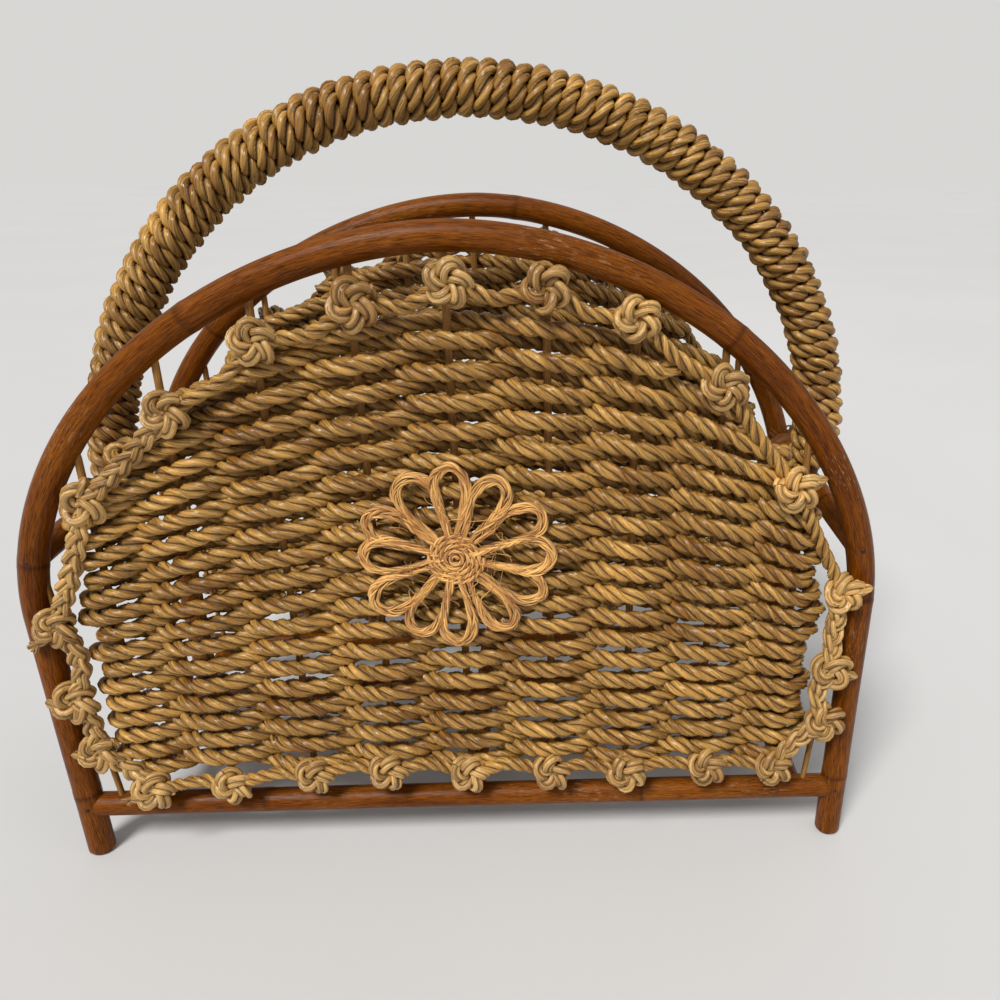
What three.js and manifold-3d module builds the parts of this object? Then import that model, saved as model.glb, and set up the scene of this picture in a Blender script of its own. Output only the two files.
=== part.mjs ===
import * as THREE from "three";
import { mergeVertices } from "three/addons/utils/BufferGeometryUtils.js";
import Module from "manifold-3d";

// A magazine basket. Two equal bent rattan hoops stand upright, one behind the other, tied by
// a floor of rattan rails and by a bar at each side. Each hoop is filled with upright stakes,
// one seagrass rope woven to and fro between them, and a knotted cord that goes round the
// weave. A taller hoop between the two is the carrying handle, wound with seagrass rope.
// Millimetres, +X to the right, +Y to the rear, +Z up. The origin is on the floor, midway.

const wasm = await Module();
wasm.setup();

// Poles of the two panel hoops
const overallWidth = 420;
const poleRadius = 6.8;
const hoopStraight = 147.5;
const hoopRise = 180;
const hoopLean = 6;
const hoopPower = 1.88;
const panelSpacing = 162;

// Rails, floor bars and side bars
const railRadius = 6.4;
const railHeight = 31.3;
const floorBarRadius = 6;
const centreBarOffset = 3;
const sideBarRadius = 6.4;
const sideBarHeight = 180;

// Handle: a bare cane core that goes down to the floor bars, wound above the side bars
const handleCoreRadius = 6.4;
const handleCrown = 386.5;
const handleShoulder = 200;
const handleSpread = 15;
const handleLean = 10.5;
const handleWrapRadius = 3.05;
const handleWrapPitch = 8.2;
const handleWrapStart = 8;

// Stakes and the woven rope
const endStakeInset = 35.7;
const stakePlaceShares = [-1, -0.747, -0.484, -0.227, 0.016, 0.275, 0.513, 0.754, 1.004];
const stakeRadius = 1.75;
const stakeSocket = 4;
const outerStakeTop = 184;
const outerStakeInset = 18;
const weaveRopeRadius = 2.55;
const rowPitch = 6.95;
const rowDroop = 34;
const weaveClearance = 0.55;

// Knotted border cord
const borderInset = 20;
const borderCordRadius = 3;
const borderSag = 1.2;
const knotRadius = 11;
const knotHalfThickness = 6.5;
const knotLobeShare = 0.12;
const bottomKnotLift = 14;
const rightKnotShares = [0.19, 0.48, 0.69];
const leftKnotShares = [0.74, 0.54, 0.26];

// Raffia flower on the front panel
const flowerRadius = 47;
const flowerOffset = 1.7;
const flowerHeight = 180.4;
const flowerDiscRadius = 12.7;
const flowerDiscThickness = 1.9;
const petalThickness = 5;
const petalWidth = 19.6;
const petalCount = 12;
const petalValleyShare = 0.34;
const petalShares = [[0.55, 0.64], [0.78, 0.98], [0.92, 0.84], [0.985, 0.45], [1, 0]];
const petalOpeningRootShares = [0.38, 0];
const petalOpeningShares = [[0.55, 0.22], [0.76, 0.55], [0.86, 0.44], [0.905, 0]];

// Cane bindings round the side bars, beside the rear hoop
const bindingLength = 15;
const bindingThickness = 1.6;
const bindingTurns = 3;
const bindingGap = 2.5;

// Clearance between pieces that touch
const clearance = 0.3;

const legX = overallWidth / 2 - poleRadius;
const frontY = -panelSpacing / 2;
const rearY = panelSpacing / 2;
const ropeOffset = stakeRadius + weaveRopeRadius + weaveClearance;
const endStakeX = legX - endStakeInset;

const rattan = new THREE.MeshStandardMaterial({ color: 0xa8692f, roughness: 0.45, metalness: 0 });
const seagrass = new THREE.MeshStandardMaterial({ color: 0xb4924f, roughness: 0.7, metalness: 0 });
const raffia = new THREE.MeshStandardMaterial({ color: 0xcf9d55, roughness: 0.6, metalness: 0 });
const cane = new THREE.MeshStandardMaterial({ color: 0x8f5526, roughness: 0.45, metalness: 0 });

// A closed tube along a line of points: one ring of corners at each, and a flat cap at each end.
function sweepTube(points, radius, sides, reference) {
  const corners = [];
  const faces = [];
  const normal = reference.clone();
  points.forEach((point, i) => {
    const before = points[Math.max(i - 1, 0)];
    const after = points[Math.min(i + 1, points.length - 1)];
    const along = after.clone().sub(before).normalize();
    normal.addScaledVector(along, -normal.dot(along)).normalize();
    const across = along.clone().cross(normal);
    for (let j = 0; j < sides; j++) {
      const turn = (2 * Math.PI * (j + 0.5)) / sides;
      const corner = point.clone();
      corner.addScaledVector(normal, radius * Math.cos(turn));
      corner.addScaledVector(across, radius * Math.sin(turn));
      corners.push(corner.x, corner.y, corner.z);
    }
  });
  const last = (points.length - 1) * sides;
  for (let i = 0; i < last; i += sides) {
    for (let j = 0; j < sides; j++) {
      const k = (j + 1) % sides;
      faces.push(i + j, i + k, i + sides + k);
      faces.push(i + j, i + sides + k, i + sides + j);
    }
  }
  for (let j = 1; j < sides - 1; j++) {
    faces.push(0, j + 1, j);
    faces.push(last, last + j, last + j + 1);
  }
  const geometry = new THREE.BufferGeometry();
  geometry.setAttribute("position", new THREE.Float32BufferAttribute(corners, 3));
  geometry.setIndex(faces);
  return geometry;
}

function solidOf(geometry) {
  const bare = geometry.clone();
  bare.deleteAttribute("normal");
  bare.deleteAttribute("uv");
  const merged = mergeVertices(bare);
  return new wasm.Manifold(
    new wasm.Mesh({
      numProp: 3,
      vertProperties: new Float32Array(merged.attributes.position.array),
      triVerts: new Uint32Array(merged.index.array),
    }),
  );
}

function geometryOf(solid) {
  const mesh = solid.getMesh();
  const geometry = new THREE.BufferGeometry();
  geometry.setAttribute("position", new THREE.BufferAttribute(mesh.vertProperties, 3));
  geometry.setIndex(new THREE.BufferAttribute(mesh.triVerts, 1));
  return geometry;
}

const alongX = new THREE.Vector3(1, 0, 0);
const alongY = new THREE.Vector3(0, 1, 0);
const alongZ = new THREE.Vector3(0, 0, 1);

function at(x, y, z) {
  return new THREE.Vector3(x, y, z);
}

// A point of the hoop's arch, from the right leg at turn 0 over the crown to the left leg at
// turn pi, moved inwards by an inset.
function archPoint(turn, inset) {
  const cosine = Math.cos(turn);
  const sine = Math.max(Math.sin(turn), 0);
  const side = Math.sign(cosine);
  const shareX = Math.abs(cosine) ** (2 / hoopPower);
  const shareZ = sine ** (2 / hoopPower);
  const slopeX = shareX ** (hoopPower - 1) / legX;
  const slopeZ = shareZ ** (hoopPower - 1) / hoopRise;
  const slope = Math.hypot(slopeX, slopeZ);
  const x = side * (legX * shareX - (inset * slopeX) / slope) + hoopLean * shareZ ** 2;
  const z = hoopStraight + hoopRise * shareZ - (inset * slopeZ) / slope;
  return { x, z };
}

// Height of the inset arch over a place across the panel.
function archHeight(x, inset) {
  const samples = 720;
  for (let i = 1; i <= samples; i++) {
    const after = archPoint((Math.PI * i) / samples, inset);
    if (after.x <= x) {
      const before = archPoint((Math.PI * (i - 1)) / samples, inset);
      const share = (before.x - x) / Math.max(before.x - after.x, Number.EPSILON);
      return before.z + (after.z - before.z) * share;
    }
  }
  return hoopStraight;
}

// Place across of the hoop's centre line at a height, on the right (1) or the left (-1).
function hoopX(z, side) {
  const share = Math.min(Math.max((z - hoopStraight) / hoopRise, 0), 1);
  return side * legX * (1 - share ** hoopPower) ** (1 / hoopPower) + hoopLean * share ** 2;
}

function hoopPath(y) {
  const steps = 22;
  const points = [at(legX, y, 0)];
  for (let i = 0; i <= steps; i++) {
    const { x, z } = archPoint((Math.PI * i) / steps, 0);
    points.push(at(x, y, z));
  }
  points.push(at(-legX, y, 0));
  return points;
}

function hoopTube(y, growth) {
  return solidOf(sweepTube(hoopPath(y), poleRadius + growth, 10, alongY));
}

function straightTube(from, to, radius, sides) {
  const reference = Math.abs(to.z - from.z) > Math.abs(to.x - from.x) ? alongX : alongZ;
  return solidOf(sweepTube([from, to], radius, sides, reference));
}

// The upright stakes of a panel: nine straight ones, then the two slanted outer ones.
function stakeLines(y) {
  const foot = railHeight + railRadius - stakeSocket;
  const lines = stakePlaceShares.map((share) => {
    const x = share * endStakeX;
    return [at(x, y, foot), at(x, y, archHeight(x, poleRadius) + stakeSocket)];
  });
  for (const side of [-1, 1]) {
    const top = at(hoopX(outerStakeTop, side), y, outerStakeTop);
    lines.push([at(side * (legX - outerStakeInset), y, foot), top]);
  }
  return lines;
}

function stakeBores(y) {
  return stakeLines(y).map(([foot, top]) => {
    const along = top.clone().sub(foot).normalize();
    const from = foot.clone().addScaledVector(along, -clearance);
    const to = top.clone().addScaledVector(along, clearance);
    return straightTube(from, to, stakeRadius + clearance, 6);
  });
}

function cutAll(solid, tools) {
  return tools.reduce((left, tool) => left.subtract(tool), solid);
}

function makeHoop(y) {
  return cutAll(hoopTube(y, 0), stakeBores(y).slice(0, stakePlaceShares.length));
}

function railTube(y, growth) {
  const radius = railRadius + growth;
  return straightTube(at(-legX, y, railHeight), at(legX, y, railHeight), radius, 10);
}

function makeBottomRail(y) {
  return cutAll(railTube(y, 0), [hoopTube(y, clearance), ...stakeBores(y)]);
}

function makeStakes(y) {
  return stakeLines(y).map(([foot, top], i) => {
    const whole = straightTube(foot, top, stakeRadius, 6);
    return i < stakePlaceShares.length ? whole : whole.subtract(hoopTube(y, clearance));
  });
}

// A floor bar runs from the front rail to the rear rail and is hollowed to fit both.
function makeFloorBar(x) {
  const whole = straightTube(at(x, frontY, railHeight), at(x, rearY, railHeight), floorBarRadius, 10);
  const rails = [railTube(frontY, clearance), railTube(rearY, clearance)];
  return cutAll(whole, [...rails, hoopTube(frontY, clearance), hoopTube(rearY, clearance)]);
}

// The handle's legs run inside the side bars, let into them by half the bar.
const handleLegX = hoopX(sideBarHeight, 1) - sideBarRadius;

function makeSideBar(side) {
  const x = hoopX(sideBarHeight, side);
  const from = at(x, frontY, sideBarHeight);
  const to = at(x, rearY, sideBarHeight);
  const whole = straightTube(from, to, sideBarRadius, 10);
  return cutAll(whole, [
    hoopTube(frontY, clearance),
    hoopTube(rearY, clearance),
    handleCore(clearance),
  ]);
}

// Half width of the handle at a height of its legs, which stand on the floor bars and spread a
// little on the way up.
const handleFoot = railHeight + floorBarRadius + clearance;

function handleX(z) {
  return handleLegX + (handleSpread * (z - sideBarHeight)) / (handleShoulder - handleFoot);
}

// The handle's centre line: the spreading legs, then the arch.
function handlePath() {
  const archSteps = 24;
  const right = [handleFoot, sideBarHeight].map((z) => at(handleX(z), 0, z));
  const left = right.map((point) => at(-point.x, 0, point.z)).reverse();
  const arch = [];
  for (let i = 0; i <= archSteps; i++) {
    const turn = (Math.PI * i) / archSteps;
    const x = handleX(handleShoulder) * Math.cos(turn);
    arch.push(at(x, 0, handleShoulder + (handleCrown - handleShoulder) * Math.sin(turn)));
  }
  const points = [...right, ...arch, ...left];
  for (const point of points) {
    const share = Math.max((point.z - sideBarHeight) / (handleCrown - sideBarHeight), 0);
    point.x += handleLean * share * (2 - share);
  }
  return points;
}

function handleCore(growth) {
  return solidOf(sweepTube(handlePath(), handleCoreRadius + growth, 8, alongY));
}

// The middle floor rail lies on the floor bars and is hollowed to fit between the handle's legs.
function makeMiddleRail() {
  const z = railHeight + floorBarRadius + clearance + railRadius;
  const reach = handleX(z) - handleCoreRadius / 2;
  const whole = straightTube(at(-reach, 0, z), at(reach, 0, z), railRadius, 10);
  return whole.subtract(handleCore(clearance));
}

// A line that can be walked by distance.
function measuredLine(points) {
  const lengths = [0];
  for (let i = 1; i < points.length; i++) {
    lengths.push(lengths[i - 1] + points[i].distanceTo(points[i - 1]));
  }
  let i = 1;
  const placeAt = (distance) => {
    while (i < points.length - 1 && lengths[i] < distance) i++;
    while (i > 1 && lengths[i - 1] > distance) i--;
    const share = (distance - lengths[i - 1]) / (lengths[i] - lengths[i - 1]);
    const point = points[i - 1].clone().lerp(points[i], share);
    return { point, along: points[i].clone().sub(points[i - 1]).normalize() };
  };
  return { length: lengths[lengths.length - 1], placeAt };
}

// Least gap of a tube to itself, on points close together along it. Neighbours on the same
// stretch, nearer along the tube than two diameters, don't count.
function leastGap(corners, radius) {
  const line = measuredLine(corners);
  const count = corners.length * 6;
  const points = [];
  for (let i = 0; i <= count; i++) points.push(line.placeAt((line.length * i) / count).point);
  const skip = Math.ceil((4 * radius * count) / line.length);
  let least = Infinity;
  for (let i = 0; i < points.length; i++) {
    for (let j = i + skip; j < points.length; j++) {
      least = Math.min(least, points[i].distanceToSquared(points[j]));
    }
  }
  return Math.sqrt(least) - 2 * radius;
}

// The handle's winding: one unbroken rope, eight steps to a turn, from side bar to side bar.
function wrapPoints() {
  const fine = new THREE.CatmullRomCurve3(handlePath()).getPoints(600);
  const above = fine.filter((point) => point.z > sideBarHeight + sideBarRadius + handleWrapStart);
  const line = measuredLine(above);
  const turns = Math.round(line.length / handleWrapPitch);
  const steps = turns * 8;
  const reach = (handleCoreRadius + clearance + handleWrapRadius) / Math.cos(Math.PI / 8);
  const points = [];
  for (let i = 0; i <= steps; i++) {
    const { point, along } = line.placeAt((line.length * i) / steps);
    const outward = along.clone().cross(alongY).normalize();
    const turn = (Math.PI * i) / 4;
    point.addScaledVector(outward, reach * Math.cos(turn));
    point.addScaledVector(alongY, reach * Math.sin(turn));
    points.push(point);
  }
  return { points: withStraightEnds(points, handleWrapRadius), turns };
}

// Both ends of a rope run on straight for one diameter.
function withStraightEnds(points, radius) {
  const last = points.length - 1;
  const start = points[0].clone().sub(points[1]).setLength(2 * radius).add(points[0]);
  const end = points[last].clone().sub(points[last - 1]).setLength(2 * radius).add(points[last]);
  return [start, ...points, end];
}

function makeHandleWrap() {
  const { points, turns } = wrapPoints();
  const gap = leastGap(points, handleWrapRadius);
  console.log("handle wrap: " + turns + " turns, least gap " + gap.toFixed(2) + " mm");
  return sweepTube(points, handleWrapRadius, 5, alongY);
}

// Height of a row of the weave at a place across: flat at the bottom, more and more arched above.
const firstRow = railHeight + railRadius + bottomKnotLift + knotRadius + weaveRopeRadius + clearance;
const weaveInset = borderInset + knotRadius + weaveRopeRadius + clearance;
const rowCount = Math.floor((archHeight(0, weaveInset) - firstRow) / rowPitch) + 1;

function rowHeight(row, x) {
  const crown = rowDroop * (row / rowCount) * (x / endStakeX) ** 2;
  return firstRow + rowPitch * row - crown;
}

// Where a row turns on one side: round the end stake, or where it meets the border's knots. It
// keeps clear of the stake beyond.
function turnPlace(row, side) {
  const stakes = stakePlaceShares.map((share) => share * endStakeX);
  if (side < 0) stakes.reverse();
  const room = ropeOffset + weaveRopeRadius + stakeRadius + clearance;
  const samples = 400;
  let x = 0;
  for (let i = 0; i <= samples; i++) {
    const next = (stakes[stakes.length - 1] * i) / samples;
    if (rowHeight(row, next) > archHeight(next, weaveInset)) break;
    x = next;
  }
  const crossed = stakes.filter((stake) => side * stake <= side * x);
  const beyond = stakes[crossed.length];
  if (beyond !== undefined) x = side * Math.min(side * x, side * beyond - room);
  const last = crossed[crossed.length - 1];
  return side * x > side * last ? x : last;
}

// One rope woven through a panel, row upon row, turning round at the end of each row.
function weavePoints(y) {
  const points = [];
  const stakes = stakePlaceShares.map((share) => share * endStakeX);
  let from = turnPlace(1, -1);
  for (let row = 0; row < rowCount; row++) {
    const side = row % 2 === 0 ? 1 : -1;
    const to = turnPlace(Math.min(row + 1, rowCount - 1), side);
    const near = Math.min(from, to) - clearance;
    const far = Math.max(from, to) + clearance;
    const crossed = stakes.map((x, i) => ({ x, front: (row + i) % 2 === 0 ? -1 : 1 }));
    const met = crossed.filter(({ x }) => x > near && x < far);
    if (side < 0) met.reverse();
    const ends = [{ x: from, front: met[0].front }, { x: to, front: met[met.length - 1].front }];
    const places = [ends[0], ...met, ends[1]].filter(
      ({ x }, i, all) => i === 0 || Math.abs(x - all[i - 1].x) > 2 * weaveRopeRadius,
    );
    for (const { x, front } of places) {
      points.push(at(x, y + front * ropeOffset, rowHeight(row, x)));
    }
    if (row < rowCount - 1) points.push(...turnRound(y, row, places[places.length - 1], side));
    from = places[places.length - 1].x;
  }
  return withStraightEnds(points, weaveRopeRadius);
}

// Two points of the rope's half turn at the end of a row, rising to the next row.
function turnRound(y, row, { x, front }, side) {
  const low = rowHeight(row, x);
  const rise = rowHeight(row + 1, x) - low;
  return [1, 2].map((i) => {
    const turn = (Math.PI * i) / 3;
    const out = side * ropeOffset * Math.sin(turn);
    return at(x + out, y + front * ropeOffset * Math.cos(turn), low + (rise * i) / 3);
  });
}

function makeWeave(y, name) {
  const points = weavePoints(y);
  const gap = leastGap(points, weaveRopeRadius);
  console.log(name + ": " + rowCount + " rows, least gap " + gap.toFixed(2) + " mm");
  return sweepTube(points, weaveRopeRadius, 4, alongZ);
}

// Places of the border's knots, clockwise from the top of the first stake.
function knotPlaces() {
  const lines = stakeLines(0);
  const xs = stakePlaceShares.map((share) => share * endStakeX);
  const top = xs.map((x) => at(x, 0, archHeight(x, borderInset)));
  const low = railHeight + railRadius + bottomKnotLift;
  const bottom = xs.map((x) => at(x, 0, low)).reverse();
  const [leftFoot, leftTop] = lines[xs.length];
  const [rightFoot, rightTop] = lines[xs.length + 1];
  const right = rightKnotShares.map((share) => rightTop.clone().lerp(rightFoot, share));
  const left = leftKnotShares.map((share) => leftTop.clone().lerp(leftFoot, share));
  return [...top, ...right, ...bottom, ...left];
}

// A rosette knot: a flat bead whose rim waves in and out five times.
function makeKnot(centre) {
  const segments = 10;
  const corners = [0, -knotHalfThickness, 0];
  const faces = [];
  for (let j = 0; j < segments; j++) {
    const turn = (2 * Math.PI * j) / segments;
    const reach = knotRadius * (j % 2 === 0 ? 1 : 1 - knotLobeShare);
    corners.push(reach * Math.cos(turn), 0, reach * Math.sin(turn));
  }
  corners.push(0, knotHalfThickness, 0);
  for (let j = 0; j < segments; j++) {
    const k = (j + 1) % segments;
    faces.push(0, 1 + j, 1 + k);
    faces.push(1 + segments, 1 + k, 1 + j);
  }
  const geometry = new THREE.BufferGeometry();
  geometry.setAttribute("position", new THREE.Float32BufferAttribute(corners, 3));
  geometry.setIndex(faces);
  geometry.translate(centre.x, centre.y, centre.z);
  return solidOf(geometry);
}

// The border of a panel: its cord and knots, in one piece, on the panel's outward side. The
// outer knots press against the hoop's legs, so they are hollowed to fit them.
function makeBorder(y, outward) {
  const knotY = y + outward * (stakeRadius + clearance + knotHalfThickness);
  const places = knotPlaces();
  const middle = at(0, 0, (places[0].z + railHeight) / 2);
  const line = [];
  places.forEach((place, i) => {
    const next = places[(i + 1) % places.length];
    const between = place.clone().lerp(next, 1 / 2);
    const inward = middle.clone().sub(between).setLength(borderSag);
    line.push(at(place.x, knotY, place.z));
    line.push(between.add(inward).setY(knotY));
  });
  line.push(line[0].clone());
  const cord = solidOf(sweepTube(line, borderCordRadius, 4, alongY));
  const knotted = places.reduce(
    (whole, place) => whole.add(makeKnot(at(place.x, knotY, place.z))),
    cord,
  );
  return knotted.subtract(hoopTube(y, clearance));
}

const flowerBack = frontY - ropeOffset - weaveRopeRadius - clearance;

// A point of a petal, from its shares of the flower's radius and of the petal's half width.
function petalPoint(turn, [outShare, sideShare]) {
  const out = flowerRadius * outShare;
  const side = (petalWidth / 2) * sideShare;
  const x = out * Math.cos(turn) - side * Math.sin(turn);
  return new THREE.Vector2(x, out * Math.sin(turn) + side * Math.cos(turn));
}

// Twelve petals, each a flat loop of strands with an open middle, joined at their roots.
function makePetals() {
  const mirrored = (shares) => {
    const back = shares.map(([outShare, sideShare]) => [outShare, -sideShare]);
    return [...back, ...shares.slice(0, -1).reverse()];
  };
  const outline = [];
  const openings = [];
  for (let i = 0; i < petalCount; i++) {
    const turn = (2 * Math.PI * i) / petalCount;
    const valley = turn - Math.PI / petalCount;
    outline.push(petalPoint(valley, [petalValleyShare, 0]));
    outline.push(...mirrored(petalShares).map((place) => petalPoint(turn, place)));
    const open = [petalOpeningRootShares, ...mirrored(petalOpeningShares)];
    openings.push(new THREE.Path(open.map((place) => petalPoint(turn, place))));
  }
  const shape = new THREE.Shape(outline);
  shape.holes.push(...openings);
  const geometry = new THREE.ExtrudeGeometry(shape, { depth: petalThickness, bevelEnabled: false });
  geometry.rotateX(Math.PI / 2);
  return geometry.translate(flowerOffset, flowerBack, flowerHeight);
}

// The coiled middle of the flower: a low disc with two raised rings.
function makeFlowerCentre() {
  const back = flowerBack - petalThickness - clearance;
  const high = flowerDiscThickness;
  const profile = [
    new THREE.Vector2(0, 0),
    new THREE.Vector2(flowerDiscRadius, 0),
    new THREE.Vector2(flowerDiscRadius, high / 2),
    new THREE.Vector2(flowerDiscRadius * 0.85, high),
    new THREE.Vector2(flowerDiscRadius * 0.65, high / 2),
    new THREE.Vector2(flowerDiscRadius * 0.45, high),
    new THREE.Vector2(flowerDiscRadius * 0.2, high / 2),
    new THREE.Vector2(0, high),
  ];
  const geometry = new THREE.LatheGeometry(profile, 14);
  geometry.rotateX(Math.PI);
  return geometry.translate(flowerOffset, back, flowerHeight);
}

// Cane wound round a side bar beside the rear hoop: a sleeve ridged by its turns.
function makeBinding(side) {
  const sides = 10;
  const inner = (sideBarRadius + clearance) / Math.cos(Math.PI / sides);
  const outer = inner + bindingThickness;
  const profile = [new THREE.Vector2(inner, 0)];
  for (let i = 0; i < bindingTurns; i++) {
    const start = (bindingLength * i) / bindingTurns;
    profile.push(new THREE.Vector2(inner + bindingThickness / 2, start));
    profile.push(new THREE.Vector2(outer, start + bindingLength / bindingTurns / 2));
  }
  profile.push(new THREE.Vector2(inner + bindingThickness / 2, bindingLength));
  profile.push(new THREE.Vector2(inner, bindingLength));
  profile.push(new THREE.Vector2(inner, 0));
  const geometry = new THREE.LatheGeometry(profile, sides);
  const y = rearY - poleRadius - bindingGap - bindingLength;
  return geometry.translate(hoopX(sideBarHeight, side), y, sideBarHeight);
}

const basket = new THREE.Group();

function add(name, shape, material) {
  const geometry = shape.isBufferGeometry ? shape : geometryOf(shape);
  const mesh = new THREE.Mesh(geometry, material);
  mesh.name = name;
  basket.add(mesh);
}

for (const [panel, y, outward] of [["front", frontY, -1], ["rear", rearY, 1]]) {
  add(panel + "_hoop", makeHoop(y), rattan);
  add(panel + "_bottom_rail", makeBottomRail(y), rattan);
  makeStakes(y).forEach((stake, i) => add(panel + "_stake_" + (i + 1), stake, rattan));
  add(panel + "_weave_rope", makeWeave(y, panel + " weave"), seagrass);
  add(panel + "_knotted_border", makeBorder(y, outward), seagrass);
}
add("left_floor_bar", makeFloorBar(-handleX(handleFoot)), rattan);
add("centre_floor_bar", makeFloorBar(centreBarOffset), rattan);
add("right_floor_bar", makeFloorBar(handleX(handleFoot)), rattan);
add("middle_floor_rail", makeMiddleRail(), rattan);
add("left_side_bar", makeSideBar(-1), rattan);
add("right_side_bar", makeSideBar(1), rattan);
add("left_cane_binding", makeBinding(-1), cane);
add("right_cane_binding", makeBinding(1), cane);
add("handle_core", handleCore(0), rattan);
add("handle_wrap", makeHandleWrap(), seagrass);
add("raffia_petals", makePetals(), raffia);
add("raffia_centre", makeFlowerCentre(), raffia);

export default basket;
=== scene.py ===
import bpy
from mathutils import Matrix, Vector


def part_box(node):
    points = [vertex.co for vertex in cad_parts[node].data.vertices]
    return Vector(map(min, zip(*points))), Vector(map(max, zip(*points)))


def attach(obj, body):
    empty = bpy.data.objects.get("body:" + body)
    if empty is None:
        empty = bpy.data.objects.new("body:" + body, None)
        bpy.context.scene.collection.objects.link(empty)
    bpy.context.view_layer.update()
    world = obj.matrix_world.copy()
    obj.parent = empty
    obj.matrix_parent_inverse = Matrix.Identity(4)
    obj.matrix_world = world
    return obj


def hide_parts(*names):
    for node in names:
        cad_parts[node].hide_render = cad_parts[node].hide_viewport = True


bl_info = {
    "name": "Magazine Basket",
    "version": (1, 0, 0),
    "blender": (4, 5, 0),
    "location": "View3D > Sidebar > Basket",
    "description": "Dresses a magazine basket: rattan poles, seagrass ropes, knots and a flower",
    "category": "Object",
}

import random
from math import cos, exp, hypot, pi, sin, sqrt, tau

import bpy
from bpy.props import FloatProperty, FloatVectorProperty, IntProperty, PointerProperty
from mathutils import Matrix, Vector, noise

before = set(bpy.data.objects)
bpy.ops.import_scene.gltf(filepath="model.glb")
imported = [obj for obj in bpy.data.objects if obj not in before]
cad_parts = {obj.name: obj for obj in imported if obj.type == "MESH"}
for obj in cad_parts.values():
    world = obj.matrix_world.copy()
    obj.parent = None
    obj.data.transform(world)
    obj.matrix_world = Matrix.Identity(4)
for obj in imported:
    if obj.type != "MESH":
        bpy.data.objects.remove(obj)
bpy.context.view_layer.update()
MM = 0.001

# ---------------------------------------------------------------- sizes and colours


def length(name, description, default):
    """A length. Its default is given in millimetres."""
    return FloatProperty(name=name, description=description, default=default * MM,
                         unit="LENGTH", subtype="DISTANCE", precision=5)


def number(name, description, default):
    return FloatProperty(name=name, description=description, default=default)


def count(name, description, default, least):
    return IntProperty(name=name, description=description, default=default, min=least)


def colour(name, description, default):
    return FloatVectorProperty(name=name, description=description, default=default,
                               size=3, subtype="COLOR", min=0, max=1)


class BasketPoleSizes(bpy.types.PropertyGroup):
    """Sizes of the rattan poles."""

    pole_radius: length("Pole radius", "Radius of the two hoops", 6.8)
    leg_x: length("Leg place", "Half the distance between the legs of a hoop", 203.2)
    hoop_straight: length("Straight leg", "Height at which a hoop starts to bend", 147.5)
    hoop_rise: length("Hoop rise", "Rise of the bent part of a hoop", 180)
    hoop_lean: length("Hoop lean", "How far the crown of a hoop stands to the right", 6)
    hoop_power: number("Hoop roundness", "Exponent of the hoop's curve, 2 for an ellipse", 1.88)
    panel_y: length("Panel place", "Distance of each panel from the middle", 81)
    rail_radius: length("Rail radius", "Radius of the bottom rails and the side bars", 6.4)
    rail_height: length("Rail height", "Height of the bottom rails", 31.3)
    floor_bar_radius: length("Floor bar radius", "Radius of the floor bars", 6)
    centre_bar_x: length("Centre bar place", "Place of the centre floor bar", 3)
    side_bar_height: length("Side bar height", "Height of the two side bars", 180)
    stake_radius: length("Stake radius", "Radius of the upright stakes", 1.75)


class BasketHandleSizes(bpy.types.PropertyGroup):
    """Sizes of the carrying handle and its winding."""

    core_radius: length("Core radius", "Radius of the cane inside the winding", 6.4)
    crown: length("Crown", "Height of the handle's centre line at its top", 386.5)
    shoulder: length("Shoulder", "Height at which the handle starts to bend", 200)
    spread: length("Spread", "How far each leg spreads on its way up", 15)
    lean: length("Lean", "How far the crown stands to the right", 10.5)
    rope_radius: length("Rope radius", "Radius of the rope wound round the handle", 4.6)
    rope_lay: length("Winding rope lay", "Length of a full twist of the wound rope", 24)
    turn_pitch: length("Turn pitch", "Distance from turn to turn along the handle", 8.1)


class BasketRopeSizes(bpy.types.PropertyGroup):
    """Sizes of the woven ropes and the knotted cords."""

    end_stake_x: length("End stake place", "Length that the stakes' shares refer to", 167.5)
    rope_radius: length("Rope radius", "Radius of the woven rope over all plies", 4.35)
    rope_lay: length("Rope lay", "Length of a full twist of the rope", 26)
    first_row: length("First row", "Height of the lowest row", 59)
    row_pitch: length("Row pitch", "Mean rise from row to row at the middle", 6.65)
    rows: count("Rows", "Number of rows of the weave", 36, 4)
    droop: length("Droop", "How far the top row falls towards the end stakes", 52)
    border_inset: length("Border inset", "Distance of the border cord from the hoop", 20)
    cord_radius: length("Cord radius", "Radius of the border cord over all plies", 3.7)
    cord_lay: length("Cord lay", "Length of a full twist of the border cord", 21)
    strand_radius: length("Strand radius", "Radius of a plaited strand of the side cords", 2.8)
    plait_length: length("Plait length", "Length in which a plait repeats itself", 26)
    knot_lay: length("Knot cord lay", "Length of a full twist of the cord within a knot", 55)
    knot_radius: length("Knot radius", "Outer radius of a rosette knot", 12)
    knot_depth: length("Knot depth", "Half the thickness of a knot", 7)
    bottom_knot_lift: length("Bottom knot lift", "Height of the lower knots over the rail", 14)


class BasketFlowerSizes(bpy.types.PropertyGroup):
    """Sizes of the raffia flower."""

    radius: length("Flower radius", "From the middle to the petals' tips", 49)
    disc_radius: length("Disc radius", "Radius of the coiled middle", 12.7)
    petal_width: length("Petal width", "Width of a petal over its outer strands", 21.5)
    strand_radius: length("Strand radius", "Half the thickness of a raffia strand", 0.55)
    petals: count("Petals", "Number of petals", 12, 3)
    bundles: count("Bundles", "Bundles side by side in each petal", 3, 1)
    strands: count("Strands", "Strands in each bundle", 4, 1)
    hairs: count("Hairs", "Loose fibres between the petals", 46, 0)
    place_x: length("Place across", "Place of the flower across the panel", 1.7)
    place_z: length("Height", "Height of the flower's middle", 181.8)


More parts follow.
